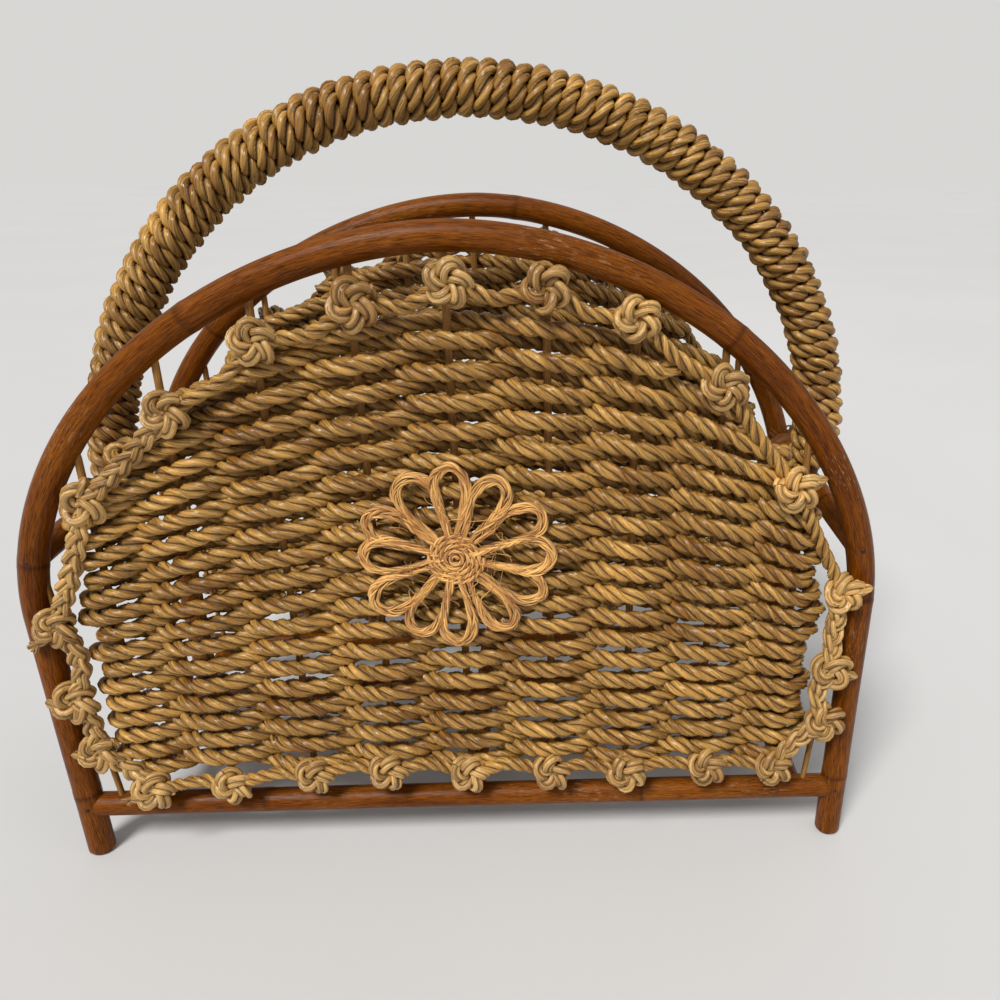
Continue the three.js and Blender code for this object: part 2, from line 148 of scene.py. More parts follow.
class BasketColours(bpy.types.PropertyGroup):
    """Colours of the materials."""

    rattan_light: colour("Rattan, light", "Varnished rattan, light", (0.242, 0.070, 0.0035))
    rattan_dark: colour("Rattan, dark", "Grain and stain of the rattan", (0.088, 0.019, 0.0013))
    seagrass_light: colour("Seagrass, light", "Straw coloured leaves", (0.61, 0.345, 0.086))
    seagrass_dark: colour("Seagrass, dark", "Olive brown leaves", (0.20, 0.076, 0.0075))
    # The knots are tied from the same seagrass as the border cord; their lighter colours are
    # painted light.
    knots_light: colour("Knots, light", "Pale leaves of the knots", (0.74, 0.46, 0.16))
    knots_dark: colour("Knots, dark", "Brown leaves of the knots", (0.24, 0.10, 0.018))
    stakes_light: colour("Stakes, light", "Split cane where it is light", (0.44, 0.22, 0.06))
    stakes_dark: colour("Stakes, dark", "Grain of the split cane", (0.20, 0.08, 0.015))
    raffia_light: colour("Raffia, light", "Pale raffia", (0.86, 0.48, 0.13))
    raffia_dark: colour("Raffia, dark", "Golden raffia", (0.30, 0.095, 0.010))
    cane_light: colour("Cane, light", "Stained cane strip, light", (0.22, 0.085, 0.022))
    cane_dark: colour("Cane, dark", "Stained cane strip, dark", (0.07, 0.02, 0.005))
    floor: colour("Floor", "Plain pale floor", (0.58, 0.58, 0.58))


PANELS = (("front", -1), ("rear", 1))
ENDS = (("left", -1), ("right", 1))
BACKWARDS = Vector((0, 1, 0))
# Room between a pole or stake and what lies on it.
GAP = 0.3 * MM
# The feet of the hoops are rounded, and an end that butts against another pole isn't.
ROUND_END, SQUARE_END = 1.2 * MM, 1e-6
# How far before another pole's centre line the ends of the rails and bars lie.
RAIL_END, FLOOR_BAR_END, MIDDLE_RAIL_END = 2.4 * MM, 2.6 * MM, 4 * MM

# Shares of a pole's length at which the cane has its nodes.
HOOP_NODES = {"front": (0.045, 0.17, 0.345, 0.63, 0.80, 0.955),
              "rear": (0.08, 0.26, 0.47, 0.70, 0.9)}
RAIL_NODES, MIDDLE_RAIL_NODES = (0.23, 0.735), (0.3, 0.8)
FLOOR_BAR_NODES, SIDE_BAR_NODES, HANDLE_NODES = (0.62,), (0.30,), (0.06, 0.95)

# Unevenness of a pole, height of the ring at a node and depth of the crease in it, as shares.
UNEVEN, NODE_RING, NODE_CREASE = 0.018, 0.045, 0.035

STAKE_SHARES = (-1, -0.747, -0.484, -0.227, 0.016, 0.275, 0.513, 0.754, 1.004)
MIDDLE_STAKE = 4
OUTER_STAKE_TOP = 184 * MM
OUTER_STAKE_INSET = 18 * MM
STAKE_SOCKET = 4 * MM

PLIES = 3
ROPE_CORNERS = 15
# How far the creases between the plies reach out from a rope's middle, as a share of its radius.
CREASE_REACH = 0.46

# A row that ends this far beyond its last stake has a bend of its own there.
END_ROOM = 9 * MM
# The way of a row's turn round its end, from one side of the panel to the other.
TURN_SHARES = (0.86, 0.5, 0.0, -0.5, -0.86)
TURN_STEPS = len(TURN_SHARES) + 1
# The rear rows lie higher by this share of their pitch, and their rope is thicker by this share.
REAR_LIFT, REAR_THICKER = 0.45, 0.13

# Places of the side knots along the slanted outer stakes.
RIGHT_KNOT_SHARES = (0.19, 0.48, 0.69)
LEFT_KNOT_SHARES = (0.74, 0.54, 0.26)
PLAITED_SPANS = (0, 9, 10, 11, 20, 21, 22, 23)
# How far the cord between two knots hangs in towards the panel's middle, in millimetres.
BOWS = (1.0, 4.0, 5.5, 6.0, 6.0, 5.0, 3.0, 0.8, 0.5, 2.0, 7.0, 3.5,
        4.5, 4.5, 4.5, 4.5, 4.5, 4.5, 4.5, 4.5, 3.0, 3.0, 7.5, 1.5)
# Bends of a cord between two knots: share of its way, share of its bow, millimetres backwards.
CORD_BENDS = ((0.3, 0.65, 0.7), (0.5, 1.0, 1.2), (0.7, 0.65, 0.7))
# Height towards which the bows hang.
PANEL_MIDDLE = 0.18
# How far each front knot was tied beside its regular place, across and up, in millimetres.
KNOT_SHIFTS = ((2.5, 6), (5, -2.5), (3, -0.5), (3, -1), (2.5, 2), (0, 5), (-1, 6.5), (-1.5, 3.5),
               (-6, 8), (-5, 3.5), (-2, 2), (1, 2), (-3, 1), (2.5, 3), (0, 0), (0, 2), (-0.5, 2),
               (-2, 4.5), (2.5, 3), (3.5, -2), (5, -4), (3, 0.5), (0, 1.5), (3.5, 2.5))
# Knots from which a cord end sticks out: direction across and up, and number of frayed fibres.
LOOSE_ENDS = {0: ((0.3, 1.0), 0), 8: ((1.0, 0.4), 0), 9: ((1.0, 0.2), 0), 10: ((1.0, -0.3), 0),
              20: ((-1.0, -0.4), 5), 21: ((-1.0, -0.1), 0), 22: ((-1.0, 0.0), 0),
              23: ((-0.8, -0.7), 16)}

# Steps in a knot, in a plait or a loop of cane, in a turn of the winding, and in a binding.
KNOT_STEPS, LOOP_STEPS, STEPS_IN_A_TURN, COIL_STEPS = 90, 60, 16, 120
COIL_TURNS = 5

# Fixed, so that the petals come out the same each time.
FLOWER_SEED = 5
# Half the outline of a petal: shares of its length and of its half width.
PETAL_SHAPE = ((0.12, 0.13), (0.30, 0.32), (0.50, 0.66), (0.70, 0.97), (0.86, 0.92), (0.96, 0.56))

# Outline of a nail's head: radius and height.
NAIL_HEAD = ((1.15 * MM, -0.8 * MM), (1.15 * MM, 0.0), (0.95 * MM, 0.3 * MM), (0.5 * MM, 0.4 * MM))
NAIL_CORNERS = 12

# Painted shade for the creases between the plies of the seagrass: brown towards their edges, near
# black at their bottoms.
CREASE_SHADE_BROWN, CREASE_SHADE_DEEP = (0.13, 0.055, 0.010), (0.024, 0.009, 0.002)
BARE_WOOD = (0.62, 0.40, 0.22)
IRON, RUST = (0.035, 0.022, 0.014), (0.09, 0.035, 0.014)

# The camera as fitted to the photograph.
LENS, SHIFT_X, SHIFT_Y = 31.493, -0.0861, 0.0008
CAMERA_PLACE = Vector((0.045934, -0.464252, 0.368320))
CAMERA_RIGHT = Vector((0.999009, -0.044148, 0.005681))
CAMERA_UP = Vector((0.011995, 0.389924, 0.920769))
CAMERA_AHEAD = Vector((0.042866, 0.919788, -0.390067))
KEY_DIRECTION = Vector((0.45, 0.80, -1.15))
# Name, place, target, size and power.
AREA_LIGHTS = (("fill_light", (1.5, -0.9, 1.1), (0, 0, 0.15), 1.4, 4),
               ("back_light", (0.3, 1.4, 1.6), (0, 0, 0.2), 1.0, 1.5))
# The colour of the far floor in the picture, so that no seam shows behind it.
BACKDROP = (0.684, 0.678, 0.663, 1)


def sizes():
    """The four groups of sizes of the current scene."""
    scene = bpy.context.scene
    return scene.basket_poles, scene.basket_handle, scene.basket_ropes, scene.basket_flower


# ---------------------------------------------------------------- node trees


def put(tree, socket, value):
    """Links a socket to another one, or sets a plain value on it."""
    if isinstance(value, bpy.types.NodeSocket):
        tree.links.new(value, socket)
    else:
        socket.default_value = value


def add_node(tree, kind, inputs=(), **settings):
    """A new node, with its settings and its inputs by name or number."""
    made = tree.nodes.new(kind)
    for name, value in settings.items():
        setattr(made, name, value)
    for key, value in dict(inputs).items():
        put(tree, made.inputs[key], value)
    return made


def calc(tree, operation, *values):
    """A math node on up to three values."""
    return add_node(tree, "ShaderNodeMath", enumerate(values), operation=operation).outputs[0]


def times(tree, first, second):
    return calc(tree, "MULTIPLY", first, second)


def plus(tree, first, second):
    return calc(tree, "ADD", first, second)


def weighed(tree, first, *rest):
    """The sum of (value, weight) pairs."""
    total = times(tree, *first)
    for pair in rest:
        total = plus(tree, total, times(tree, *pair))
    return total


def combine(tree, *values):
    return add_node(tree, "ShaderNodeCombineXYZ", enumerate(values)).outputs[0]


def store(tree, geometry, name, value, kind="FLOAT"):
    """Keeps a field on the points as a named attribute, for the materials."""
    made = add_node(tree, "GeometryNodeStoreNamedAttribute", {"Geometry": geometry, "Name": name},
                    data_type=kind, domain="POINT")
    put(tree, next(s for s in made.inputs if s.name == "Value" and s.enabled), value)
    return made.outputs[0]


def new_tree(name, inputs):
    """A node group with its named inputs, which starts with lines made curves."""
    tree = bpy.data.node_groups.new(name, "GeometryNodeTree")
    tree.interface.new_socket("Geometry", in_out="INPUT", socket_type="NodeSocketGeometry")
    for label, kind in inputs:
        tree.interface.new_socket(label, in_out="INPUT", socket_type="NodeSocket" + kind)
    tree.interface.new_socket("Geometry", in_out="OUTPUT", socket_type="NodeSocketGeometry")
    given = tree.nodes.new("NodeGroupInput").outputs
    line = add_node(tree, "GeometryNodeMeshToCurve", {"Mesh": given["Geometry"]}).outputs[0]
    return tree, given, line


def swell(tree):
    """The share by which a line is thicker or thinner at a point."""
    return add_node(tree, "GeometryNodeInputNamedAttribute", {"Name": "swell"},
                    data_type="FLOAT").outputs[0]


def ring_angle(tree, corners):
    """Number and angle of each corner of a section."""
    corner = tree.nodes.new("GeometryNodeInputIndex").outputs[0]
    return corner, times(tree, corner, tau / corners)


def ring(tree, corners, angle, wide, high, mark=0.0):
    """A section with its corners placed, which also keeps their places for the materials."""
    x = times(tree, calc(tree, "COSINE", angle), wide)
    y = times(tree, calc(tree, "SINE", angle), high)
    made = add_node(tree, "GeometryNodeCurvePrimitiveCircle", {"Resolution": corners}).outputs[0]
    made = add_node(tree, "GeometryNodeSetPosition",
                    {"Geometry": made, "Position": combine(tree, x, y, 0.0)}).outputs[0]
    return store(tree, made, "section", combine(tree, x, y, mark), "FLOAT_VECTOR")


def end_tree(tree, line, section, radius, material):
    """Draws the section along the line, then smooth shading, real instances and the material."""
    made = add_node(tree, "GeometryNodeCurveToMesh",
                    {"Curve": line, "Profile Curve": section, "Scale": radius, "Fill Caps": True})
    for kind, inputs in (("SetShadeSmooth", {}), ("RealizeInstances", {}),
                         ("SetMaterial", {"Material": material})):
        made = add_node(tree, "GeometryNode" + kind, {"Geometry": made.outputs[0], **inputs})
    out = tree.nodes.new("NodeGroupOutput")
    tree.links.new(made.outputs[0], out.inputs[0])
    return tree


def laid_rope_tree(name):
    """Three plies laid round each other along each line.

    The section has three lobes and turns with the length, so the plies wind round each
    other and keep a deep groove between them.
    """
    tree, given, line = new_tree(name, [
        ("Rope Radius", "Float"), ("Lay", "Float"), ("Step", "Float"),
        ("Unevenness", "Float"), ("Seed", "Float"), ("Material", "Material")])
    line = add_node(tree, "GeometryNodeResampleCurve",
                    {"Curve": line, "Length": given["Step"]}, mode="LENGTH").outputs[0]
    along = tree.nodes.new("GeometryNodeSplineParameter").outputs["Length"]
    turn = times(tree, calc(tree, "DIVIDE", along, given["Lay"]), tau)
    place = tree.nodes.new("GeometryNodeInputPosition").outputs[0]
    wander = add_node(tree, "ShaderNodeTexNoise",
                      {"Vector": place, "W": given["Seed"], "Scale": 70.0, "Detail": 1.0},
                      noise_dimensions="4D").outputs[0]
    wander = calc(tree, "SUBTRACT", wander, 0.5)
    turn = plus(tree, turn, times(tree, wander, 2.2))
    line = add_node(tree, "GeometryNodeSetCurveTilt", {"Curve": line, "Tilt": turn}).outputs[0]
    uneven = plus(tree, 1.0, times(tree, wander, given["Unevenness"]))
    radius = times(tree, given["Rope Radius"], times(tree, uneven, swell(tree)))
    line = store(tree, line, "along", along)

    corner, angle = ring_angle(tree, ROPE_CORNERS)
    full = calc(tree, "ABSOLUTE", calc(tree, "SINE", times(tree, angle, PLIES / 2)))
    plump = calc(tree, "POWER", full, 0.75)
    reach = plus(tree, CREASE_REACH, times(tree, plump, 1 - CREASE_REACH))
    ply = calc(tree, "FLOOR", calc(tree, "DIVIDE", corner, ROPE_CORNERS / PLIES))
    section = ring(tree, ROPE_CORNERS, angle, reach, reach, ply)
    # The groove is kept for the materials: the seagrass paints shade in the creases with it and
    # makes them rougher.
    groove = calc(tree, "POWER", calc(tree, "SUBTRACT", 1.0, full), 2.0)
    section = store(tree, section, "groove", groove)
    return end_tree(tree, line, section, radius, given["Material"])


def pole_tree(name, corners, width, height):
    """A round or oval pole along each line, swelling where the line says."""
    tree, given, line = new_tree(name, [("Radius", "Float"), ("Material", "Material")])
    along = tree.nodes.new("GeometryNodeSplineParameter").outputs["Length"]
    line = store(tree, line, "along", along)
    _, angle = ring_angle(tree, corners)
    section = ring(tree, corners, angle, width, height)
    return end_tree(tree, line, section, times(tree, given["Radius"], swell(tree)),
                    given["Material"])


def tree_named(name, maker, **values):
    """The tree of a name, made once."""
    return bpy.data.node_groups.get(name) or maker(name, **values)


def line_mesh(name, lines):
    """A mesh of bare lines. Each line is a list of (point, swell, ring); the ring darkens the
    surface: a node's ring on the rattan poles, painted shade on the raffia.
    """
    points, edges, swells, rings_and_shade, pieces = [], [], [], [], []
    for piece, line in enumerate(lines):
        start = len(points)
        for point, thick, dark in line:
            points.append(point)
            swells.append(thick)
            rings_and_shade.append(dark)
            pieces.append(float(piece))
        edges += [(i, i + 1) for i in range(start, len(points) - 1)]
    mesh = bpy.data.meshes.new(name)
    mesh.from_pydata(points, edges, [])
    for label, values in (("swell", swells), ("ring", rings_and_shade), ("piece", pieces)):
        mesh.attributes.new(label, "FLOAT", "POINT").data.foreach_set("value", values)
    return mesh


def join_basket(piece):
    """Puts a finished piece in the scene, on the basket's one body."""
    bpy.context.scene.collection.objects.link(piece)
    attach(piece, "root")


def grow(name, lines, tree, finish, replaced, **inputs):
    """Grows a node tree on lines, and leaves one plain mesh that rides on the basket."""
    host = bpy.data.objects.new(name + "_lines", line_mesh(name + "_lines", lines))
    bpy.context.scene.collection.objects.link(host)
    modifier = host.modifiers.new("Grow", "NODES")
    modifier.node_group = tree
    sockets = {item.name: item.identifier for item in tree.interface.items_tree
               if item.item_type == "SOCKET" and item.in_out == "INPUT"}
    for label, value in inputs.items():
        modifier[sockets[label.replace("_", " ")]] = value
    modifier[sockets["Material"]] = material_for(finish)
    graph = bpy.context.evaluated_depsgraph_get()
    mesh = bpy.data.meshes.new_from_object(host.evaluated_get(graph), depsgraph=graph)
    bpy.data.objects.remove(host)
    if not mesh.polygons:
        raise RuntimeError(name + " came out empty")
    mesh.name = name
    piece = bpy.data.objects.new(name, mesh)
    join_basket(piece)
    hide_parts(*replaced)


def grow_rope(name, solid, lines, finish, radius, lay, step, unevenness, seed):
    """Grows laid rope on lines, in place of a solid."""
    grow(name, lines, tree_named("Laid rope", laid_rope_tree), finish, (solid,),
         Rope_Radius=radius, Lay=lay, Step=step, Unevenness=unevenness, Seed=seed)


# ---------------------------------------------------------------- materials


def new_material(name):
    """A bare material, with its tree, its shader and the object coordinates."""
    material = bpy.data.materials.new(name)
    material.use_nodes = True
    tree = material.node_tree
    tree.nodes.clear()
    shader = tree.nodes.new("ShaderNodeBsdfPrincipled")
    out = tree.nodes.new("ShaderNodeOutputMaterial")
    tree.links.new(shader.outputs[0], out.inputs[0])
    return material, tree, shader, tree.nodes.new("ShaderNodeTexCoord").outputs["Object"]


def end_shader(tree, shader, tint, gloss, grain=None, strength=0.0, depth=0.0):
    """Gives the shader its colour and roughness, and a bump from the grain."""
    put(tree, shader.inputs["Base Color"], tint)
    put(tree, shader.inputs["Roughness"], gloss)
    if grain is not None:
        bump = add_node(tree, "ShaderNodeBump",
                        {"Strength": strength, "Distance": depth, "Height": grain})
        put(tree, shader.inputs["Normal"], bump.outputs[0])


def attribute(tree, name, output="Fac"):
    return add_node(tree, "ShaderNodeAttribute", attribute_name=name).outputs[output]


def blotches(tree, vector, scale, detail=2.0, roughness=0.5):
    return add_node(tree, "ShaderNodeTexNoise",
                    {"Vector": vector, "Scale": scale, "Detail": detail,
                     "Roughness": roughness}).outputs[0]


def fibre_noise(tree, across, along, detail=2.0, roughness=0.5):
    """Noise that follows a rope or pole: fine round its section, drawn out along it."""
    section = add_node(tree, "ShaderNodeVectorMath",
                       {0: attribute(tree, "section", "Vector"), "Scale": across},
                       operation="SCALE").outputs[0]
    offset = combine(tree, 0.0, 0.0, times(tree, attribute(tree, "along"), along))
    place = add_node(tree, "ShaderNodeVectorMath", {0: section, 1: offset}, operation="ADD")
    return blotches(tree, place.outputs[0], 1.0, detail, roughness)


def spread(tree, value, low, high, to_low=0.0, to_high=1.0):
    """The value carried from one range over to another."""
    return add_node(tree, "ShaderNodeMapRange",
                    {"Value": value, "From Min": low, "From Max": high,
                     "To Min": to_low, "To Max": to_high}).outputs[0]


def blend_colours(tree, share, first, second, kind="MIX"):
    """A mix of two colours, each a socket or three numbers."""
    made = add_node(tree, "ShaderNodeMix", {0: share}, data_type="RGBA", blend_type=kind)
    for socket, value in ((made.inputs[6], first), (made.inputs[7], second)):
        put(tree, socket, value if isinstance(value, bpy.types.NodeSocket) else (*value, 1.0))
    return made.outputs[2]


def shade(tree, tint, factor):
    """A colour made darker or lighter by a factor."""
    return blend_colours(tree, 1.0, tint, combine(tree, factor, factor, factor), "MULTIPLY")


def seagrass_material(name, light, dark, creases=1.0):
    """Twisted seagrass: streaks along each ply, blotches of olive and straw, and painted shade in
    the creases.
    """
    material, tree, shader, objects = new_material(name)
    streaks = fibre_noise(tree, across=5.0, along=90.0, detail=3.0, roughness=0.6)
    leaves = fibre_noise(tree, across=0.9, along=34.0)
    patches = blotches(tree, objects, 26.0)
    tone = spread(tree, weighed(tree, (leaves, 0.75), (patches, 0.6)), 0.46, 0.88)
    tint = blend_colours(tree, tone, dark, light)
    golden = (light[0] * 1.25, light[1] * 0.98, light[2] * 0.62)
    tint = blend_colours(tree, spread(tree, patches, 0.60, 0.78, 0.0, 0.35), tint, golden)
    tint = shade(tree, tint, spread(tree, streaks, 0.36, 0.62, 0.50, 1.18))
    folds = fibre_noise(tree, across=1.3, along=75.0, detail=1.0)
    folds = calc(tree, "ABSOLUTE", calc(tree, "SUBTRACT", folds, 0.5))
    tint = shade(tree, tint, spread(tree, folds, 0.0, 0.016, 0.42, 1.0))
    # Painted shade: the creases between the plies are darkened, brown at their edges and near black
    # at their bottoms.
    groove = attribute(tree, "groove")
    for low, high, share, crease in ((0.28, 0.68, 0.38, CREASE_SHADE_BROWN),
                                     (0.66, 0.97, 0.92, CREASE_SHADE_DEEP)):
        share = spread(tree, groove, low, high, 0.0, share * creases)
        tint = blend_colours(tree, share, tint, crease)
    gloss = plus(tree, spread(tree, streaks, 0.3, 0.7, 0.19, 0.38),
                 spread(tree, groove, 0.30, 0.70, 0.0, 0.6))
    end_shader(tree, shader, tint, gloss, streaks, 0.7, 0.0006)
    shader.inputs["Specular IOR Level"].default_value = 0.45
    return material


def lit_knot_material(name, light, dark):
    """The seagrass of the knots, in the knots' lighter colours, which are painted light, and with
    weaker painted shade in its creases.
    """
    return seagrass_material(name, light, dark, 0.75)


def rattan_material(name, light, dark):
    """Varnished rattan: fine dark pores along the pole, stain that pools, and scuffs."""
    material, tree, shader, objects = new_material(name)
    pores = fibre_noise(tree, across=27.0, along=140.0, detail=4.0, roughness=0.64)
    bands = fibre_noise(tree, across=2.2, along=9.0)
    stain = blotches(tree, objects, 11.0, 3.0)
    tone = weighed(tree, (bands, 0.6), (stain, 0.7))
    tint = blend_colours(tree, spread(tree, tone, 0.42, 0.86), dark, light)
    tint = shade(tree, tint, spread(tree, pores, 0.40, 0.55, 0.30, 1.14))
    tint = shade(tree, tint, spread(tree, attribute(tree, "ring"), 0.0, 1.0, 1.0, 0.38))
    scuffs = fibre_noise(tree, across=7.0, along=190.0, detail=3.0, roughness=0.7)
    where = blotches(tree, objects, 17.0)
    worn = times(tree, spread(tree, scuffs, 0.56, 0.70), spread(tree, where, 0.53, 0.68))
    tint = blend_colours(tree, times(tree, worn, 0.42), tint, BARE_WOOD)
    gloss = plus(tree, spread(tree, stain, 0.3, 0.7, 0.28, 0.42), times(tree, worn, 0.3))
    end_shader(tree, shader, tint, gloss, pores, 0.22, 0.0004)
    shader.inputs["Specular IOR Level"].default_value = 0.12
    return material


def raffia_material(name, light, dark):
    """Dried raffia: fine parallel fibres, pale to golden, with a silky shine, and painted shade on
    the strands that lie deeper.
    """
    material, tree, shader, objects = new_material(name)
    fibres = fibre_noise(tree, across=4.0, along=60.0, detail=3.0, roughness=0.6)
    patches = blotches(tree, objects, 90.0)
    own = add_node(tree, "ShaderNodeTexWhiteNoise", {"W": attribute(tree, "piece")},
                   noise_dimensions="1D").outputs[0]
    tone = weighed(tree, (fibres, 0.7), (patches, 0.5), (own, 0.42))
    tint = blend_colours(tree, spread(tree, tone, 0.55, 1.02), dark, light)
    # Painted shade: strands on the hidden side of a bundle, and the strand behind the coil, are
    # darkened by their ring value.
    tint = shade(tree, tint, spread(tree, attribute(tree, "ring"), 0.25, 0.9, 1.0, 0.18))
    gloss = spread(tree, fibres, 0.3, 0.7, 0.36, 0.56)
    end_shader(tree, shader, tint, gloss, fibres, 0.5, 0.0003)
    shader.inputs["Sheen Weight"].default_value = 0.2
    return material


def iron_material():
    """Small nail heads, dull and a little rusty."""
    material, tree, shader, objects = new_material("nail_iron")
    rust = blotches(tree, objects, 900.0, 3.0)
    tint = blend_colours(tree, spread(tree, rust, 0.45, 0.62), IRON, RUST)
    end_shader(tree, shader, tint, spread(tree, rust, 0.4, 0.6, 0.35, 0.7))
    shader.inputs["Metallic"].default_value = 0.6
    return material


MATERIALS = {"rattan": rattan_material, "stakes": rattan_material, "cane": rattan_material,
             "seagrass": seagrass_material, "knots": lit_knot_material, "raffia": raffia_material}


def material_for(finish):
    """The material of a finish, made once."""
    made = bpy.data.materials.get("basket_" + finish)
    if made:
        return made
    tints = bpy.context.scene.basket_colours
    light, dark = (tuple(getattr(tints, finish + ending)) for ending in ("_light", "_dark"))
    return MATERIALS[finish]("basket_" + finish, light, dark)


# ---------------------------------------------------------------- the basket's lines


def arch_point(turn, inset):
    """A point (x, z) of the hoop's arch, moved inwards by an inset."""
    poles = sizes()[0]
    power = poles.hoop_power
    share_x = abs(cos(turn)) ** (2 / power)
    share_z = max(sin(turn), 0.0) ** (2 / power)
    slope_x = share_x ** (power - 1) / poles.leg_x
    slope_z = share_z ** (power - 1) / poles.hoop_rise
    slope = hypot(slope_x, slope_z)
    side = 1.0 if cos(turn) >= 0 else -1.0
    x = side * (poles.leg_x * share_x - inset * slope_x / slope) + poles.hoop_lean * share_z ** 2
    z = poles.hoop_straight + poles.hoop_rise * share_z - inset * slope_z / slope
    return x, z


def arch_points(steps, inset):
    """The inset arch from right to left."""
    return [arch_point(pi * i / steps, inset) for i in range(steps + 1)]


ARCHES = {}


def arch_height(x, inset):
    """Height of the inset arch over a place across the panel."""
    poles = sizes()[0]
    key = (inset, poles.leg_x, poles.hoop_straight, poles.hoop_rise, poles.hoop_lean,
           poles.hoop_power)
    if key not in ARCHES:
        ARCHES[key] = arch_points(720, inset)
    arch = ARCHES[key]
    if x >= arch[0][0]:
        return arch[0][1]
    for before, after in zip(arch, arch[1:]):
        if after[0] <= x:
            share = (before[0] - x) / max(before[0] - after[0], 1e-9)
            return before[1] + (after[1] - before[1]) * share
    return arch[-1][1]


def hoop_x(z, side):
    """Place across of a hoop's centre line at a height, on its left or right side."""
    poles = sizes()[0]
    share = min(max((z - poles.hoop_straight) / poles.hoop_rise, 0.0), 1.0)
    wide = poles.leg_x * (1 - share ** poles.hoop_power) ** (1 / poles.hoop_power)
    return side * wide + poles.hoop_lean * share ** 2


def handle_foot():
    """Height at which the handle stands on the floor bars."""
    poles = sizes()[0]
    return poles.rail_height + poles.floor_bar_radius + GAP


def handle_x(z):
    """Place across of the handle's right leg at a height, before the handle leans."""
    poles, handle, _, _ = sizes()
    leg = hoop_x(poles.side_bar_height, 1) - poles.rail_radius
    return leg + handle.spread * (z - poles.side_bar_height) / (handle.shoulder - handle_foot())


def handle_line(steps, leg_steps=40):
    """Centre line of the handle, from its right foot over the crown to its left foot."""
    poles, handle, _, _ = sizes()
    foot = handle_foot()
    rise = [foot + (handle.shoulder - foot) * i / leg_steps for i in range(leg_steps)]
    points = [(handle_x(z), z) for z in rise]
    for i in range(steps + 1):
        turn = pi * i / steps
        points.append((handle_x(handle.shoulder) * cos(turn),
                       handle.shoulder + (handle.crown - handle.shoulder) * sin(turn)))
    points += [(-handle_x(z), z) for z in reversed(rise)]
    reach = handle.crown - poles.side_bar_height
    line = []
    for x, z in points:
        share = max((z - poles.side_bar_height) / reach, 0.0)
        line.append(Vector((x + handle.lean * share * (2 - share), 0.0, z)))
    return line


def stake_places():
    """Places across of the nine straight stakes, from left to right."""
    return [share * sizes()[2].end_stake_x for share in STAKE_SHARES]


def stake_lines(y):
    """Foot and top of the nine straight stakes, then of the two slanted outer ones."""
    poles = sizes()[0]
    foot = poles.rail_height + poles.rail_radius - STAKE_SOCKET
    lines = []
    for x in stake_places():
        top = arch_height(x, poles.pole_radius) + STAKE_SOCKET
        lines.append((Vector((x, y, foot)), Vector((x, y, top))))
    for _, side in ENDS:
        lines.append((Vector((side * (poles.leg_x - OUTER_STAKE_INSET), y, foot)),
                      Vector((hoop_x(OUTER_STAKE_TOP, side), y, OUTER_STAKE_TOP))))
    return lines


def even_steps(points, step):
    """The same line with points a step apart."""
    lengths = [0.0]
    for a, b in zip(points, points[1:]):
        lengths.append(lengths[-1] + (b - a).length)
    spans = max(2, round(lengths[-1] / step))
    even, i = [], 0
    for k in range(spans + 1):
        want = lengths[-1] * k / spans
        while i < len(points) - 2 and lengths[i + 1] < want:
            i += 1
        share = (want - lengths[i]) / max(lengths[i + 1] - lengths[i], 1e-12)
        even.append(points[i].lerp(points[i + 1], share))
    return even


def smooth_line(points, per_span):
    """A smooth line through all points."""
    padded = [points[0], *points, points[-1]]
    line = []
    for a, b, c, d in zip(padded, padded[1:], padded[2:], padded[3:]):
        for k in range(per_span):
            t = k / per_span
            line.append(0.5 * (2 * b + (c - a) * t + (2 * a - 5 * b + 4 * c - d) * t * t
                               + (3 * b - a - 3 * c + d) * t ** 3))
    line.append(points[-1])
    return line


def even_line(points, thick=1.0, dark=0.0):
    """A line of one thickness and tone, ready to be grown."""
    return [(point, thick, dark) for point in points]


def bell(x, middle, wide):
    """A smooth bump of height 1."""
    return exp(-((x - middle) / wide) ** 2)


def pole_line(points, nodes, seed, step=2.0 * MM, rounded=SQUARE_END):
    """A pole's line with its swell: a little uneven, with a raised ring at each node."""
    even = even_steps(points, step)
    total = step * (len(even) - 1)
    line = []
    for i, point in enumerate(even):
        at = total * i / (len(even) - 1)
        thick = 1.0 + UNEVEN * noise.noise(Vector((at * 18, seed * 3.7, 0.0)))
        dark = 0.0
        for node in nodes:
            gap = (at - node * total) / MM
            thick += NODE_RING * bell(gap, 0.0, 2.6) - NODE_CREASE * bell(gap, 0.5, 0.9)
            dark += bell(gap, 0.5, 1.1)
        near = min(at, total - at)
        if near < rounded:
            thick *= 0.80 + 0.20 * sqrt(max(1 - (1 - near / rounded) ** 2, 0.0))
        line.append((point, thick, dark))
    return line


def lay_pole(name, solid, points, nodes, seed, radius, rounded=SQUARE_END):
    """Grows one round rattan pole on points, in place of a solid."""
    grow(name, [pole_line(points, nodes, seed, rounded=rounded)],
         tree_named("Rattan pole", pole_tree, corners=20, width=1.0, height=1.0), "rattan",
         (solid,), Radius=radius)


def sideways(reach, y, z):
    """Ends of a pole that runs from left to right."""
    return Vector((-reach, y, z)), Vector((reach, y, z))


def lengthways(x, reach, z):
    """Ends of a pole that runs from the front to the back."""
    return Vector((x, -reach, z)), Vector((x, reach, z))


# ---------------------------------------------------------------- operators


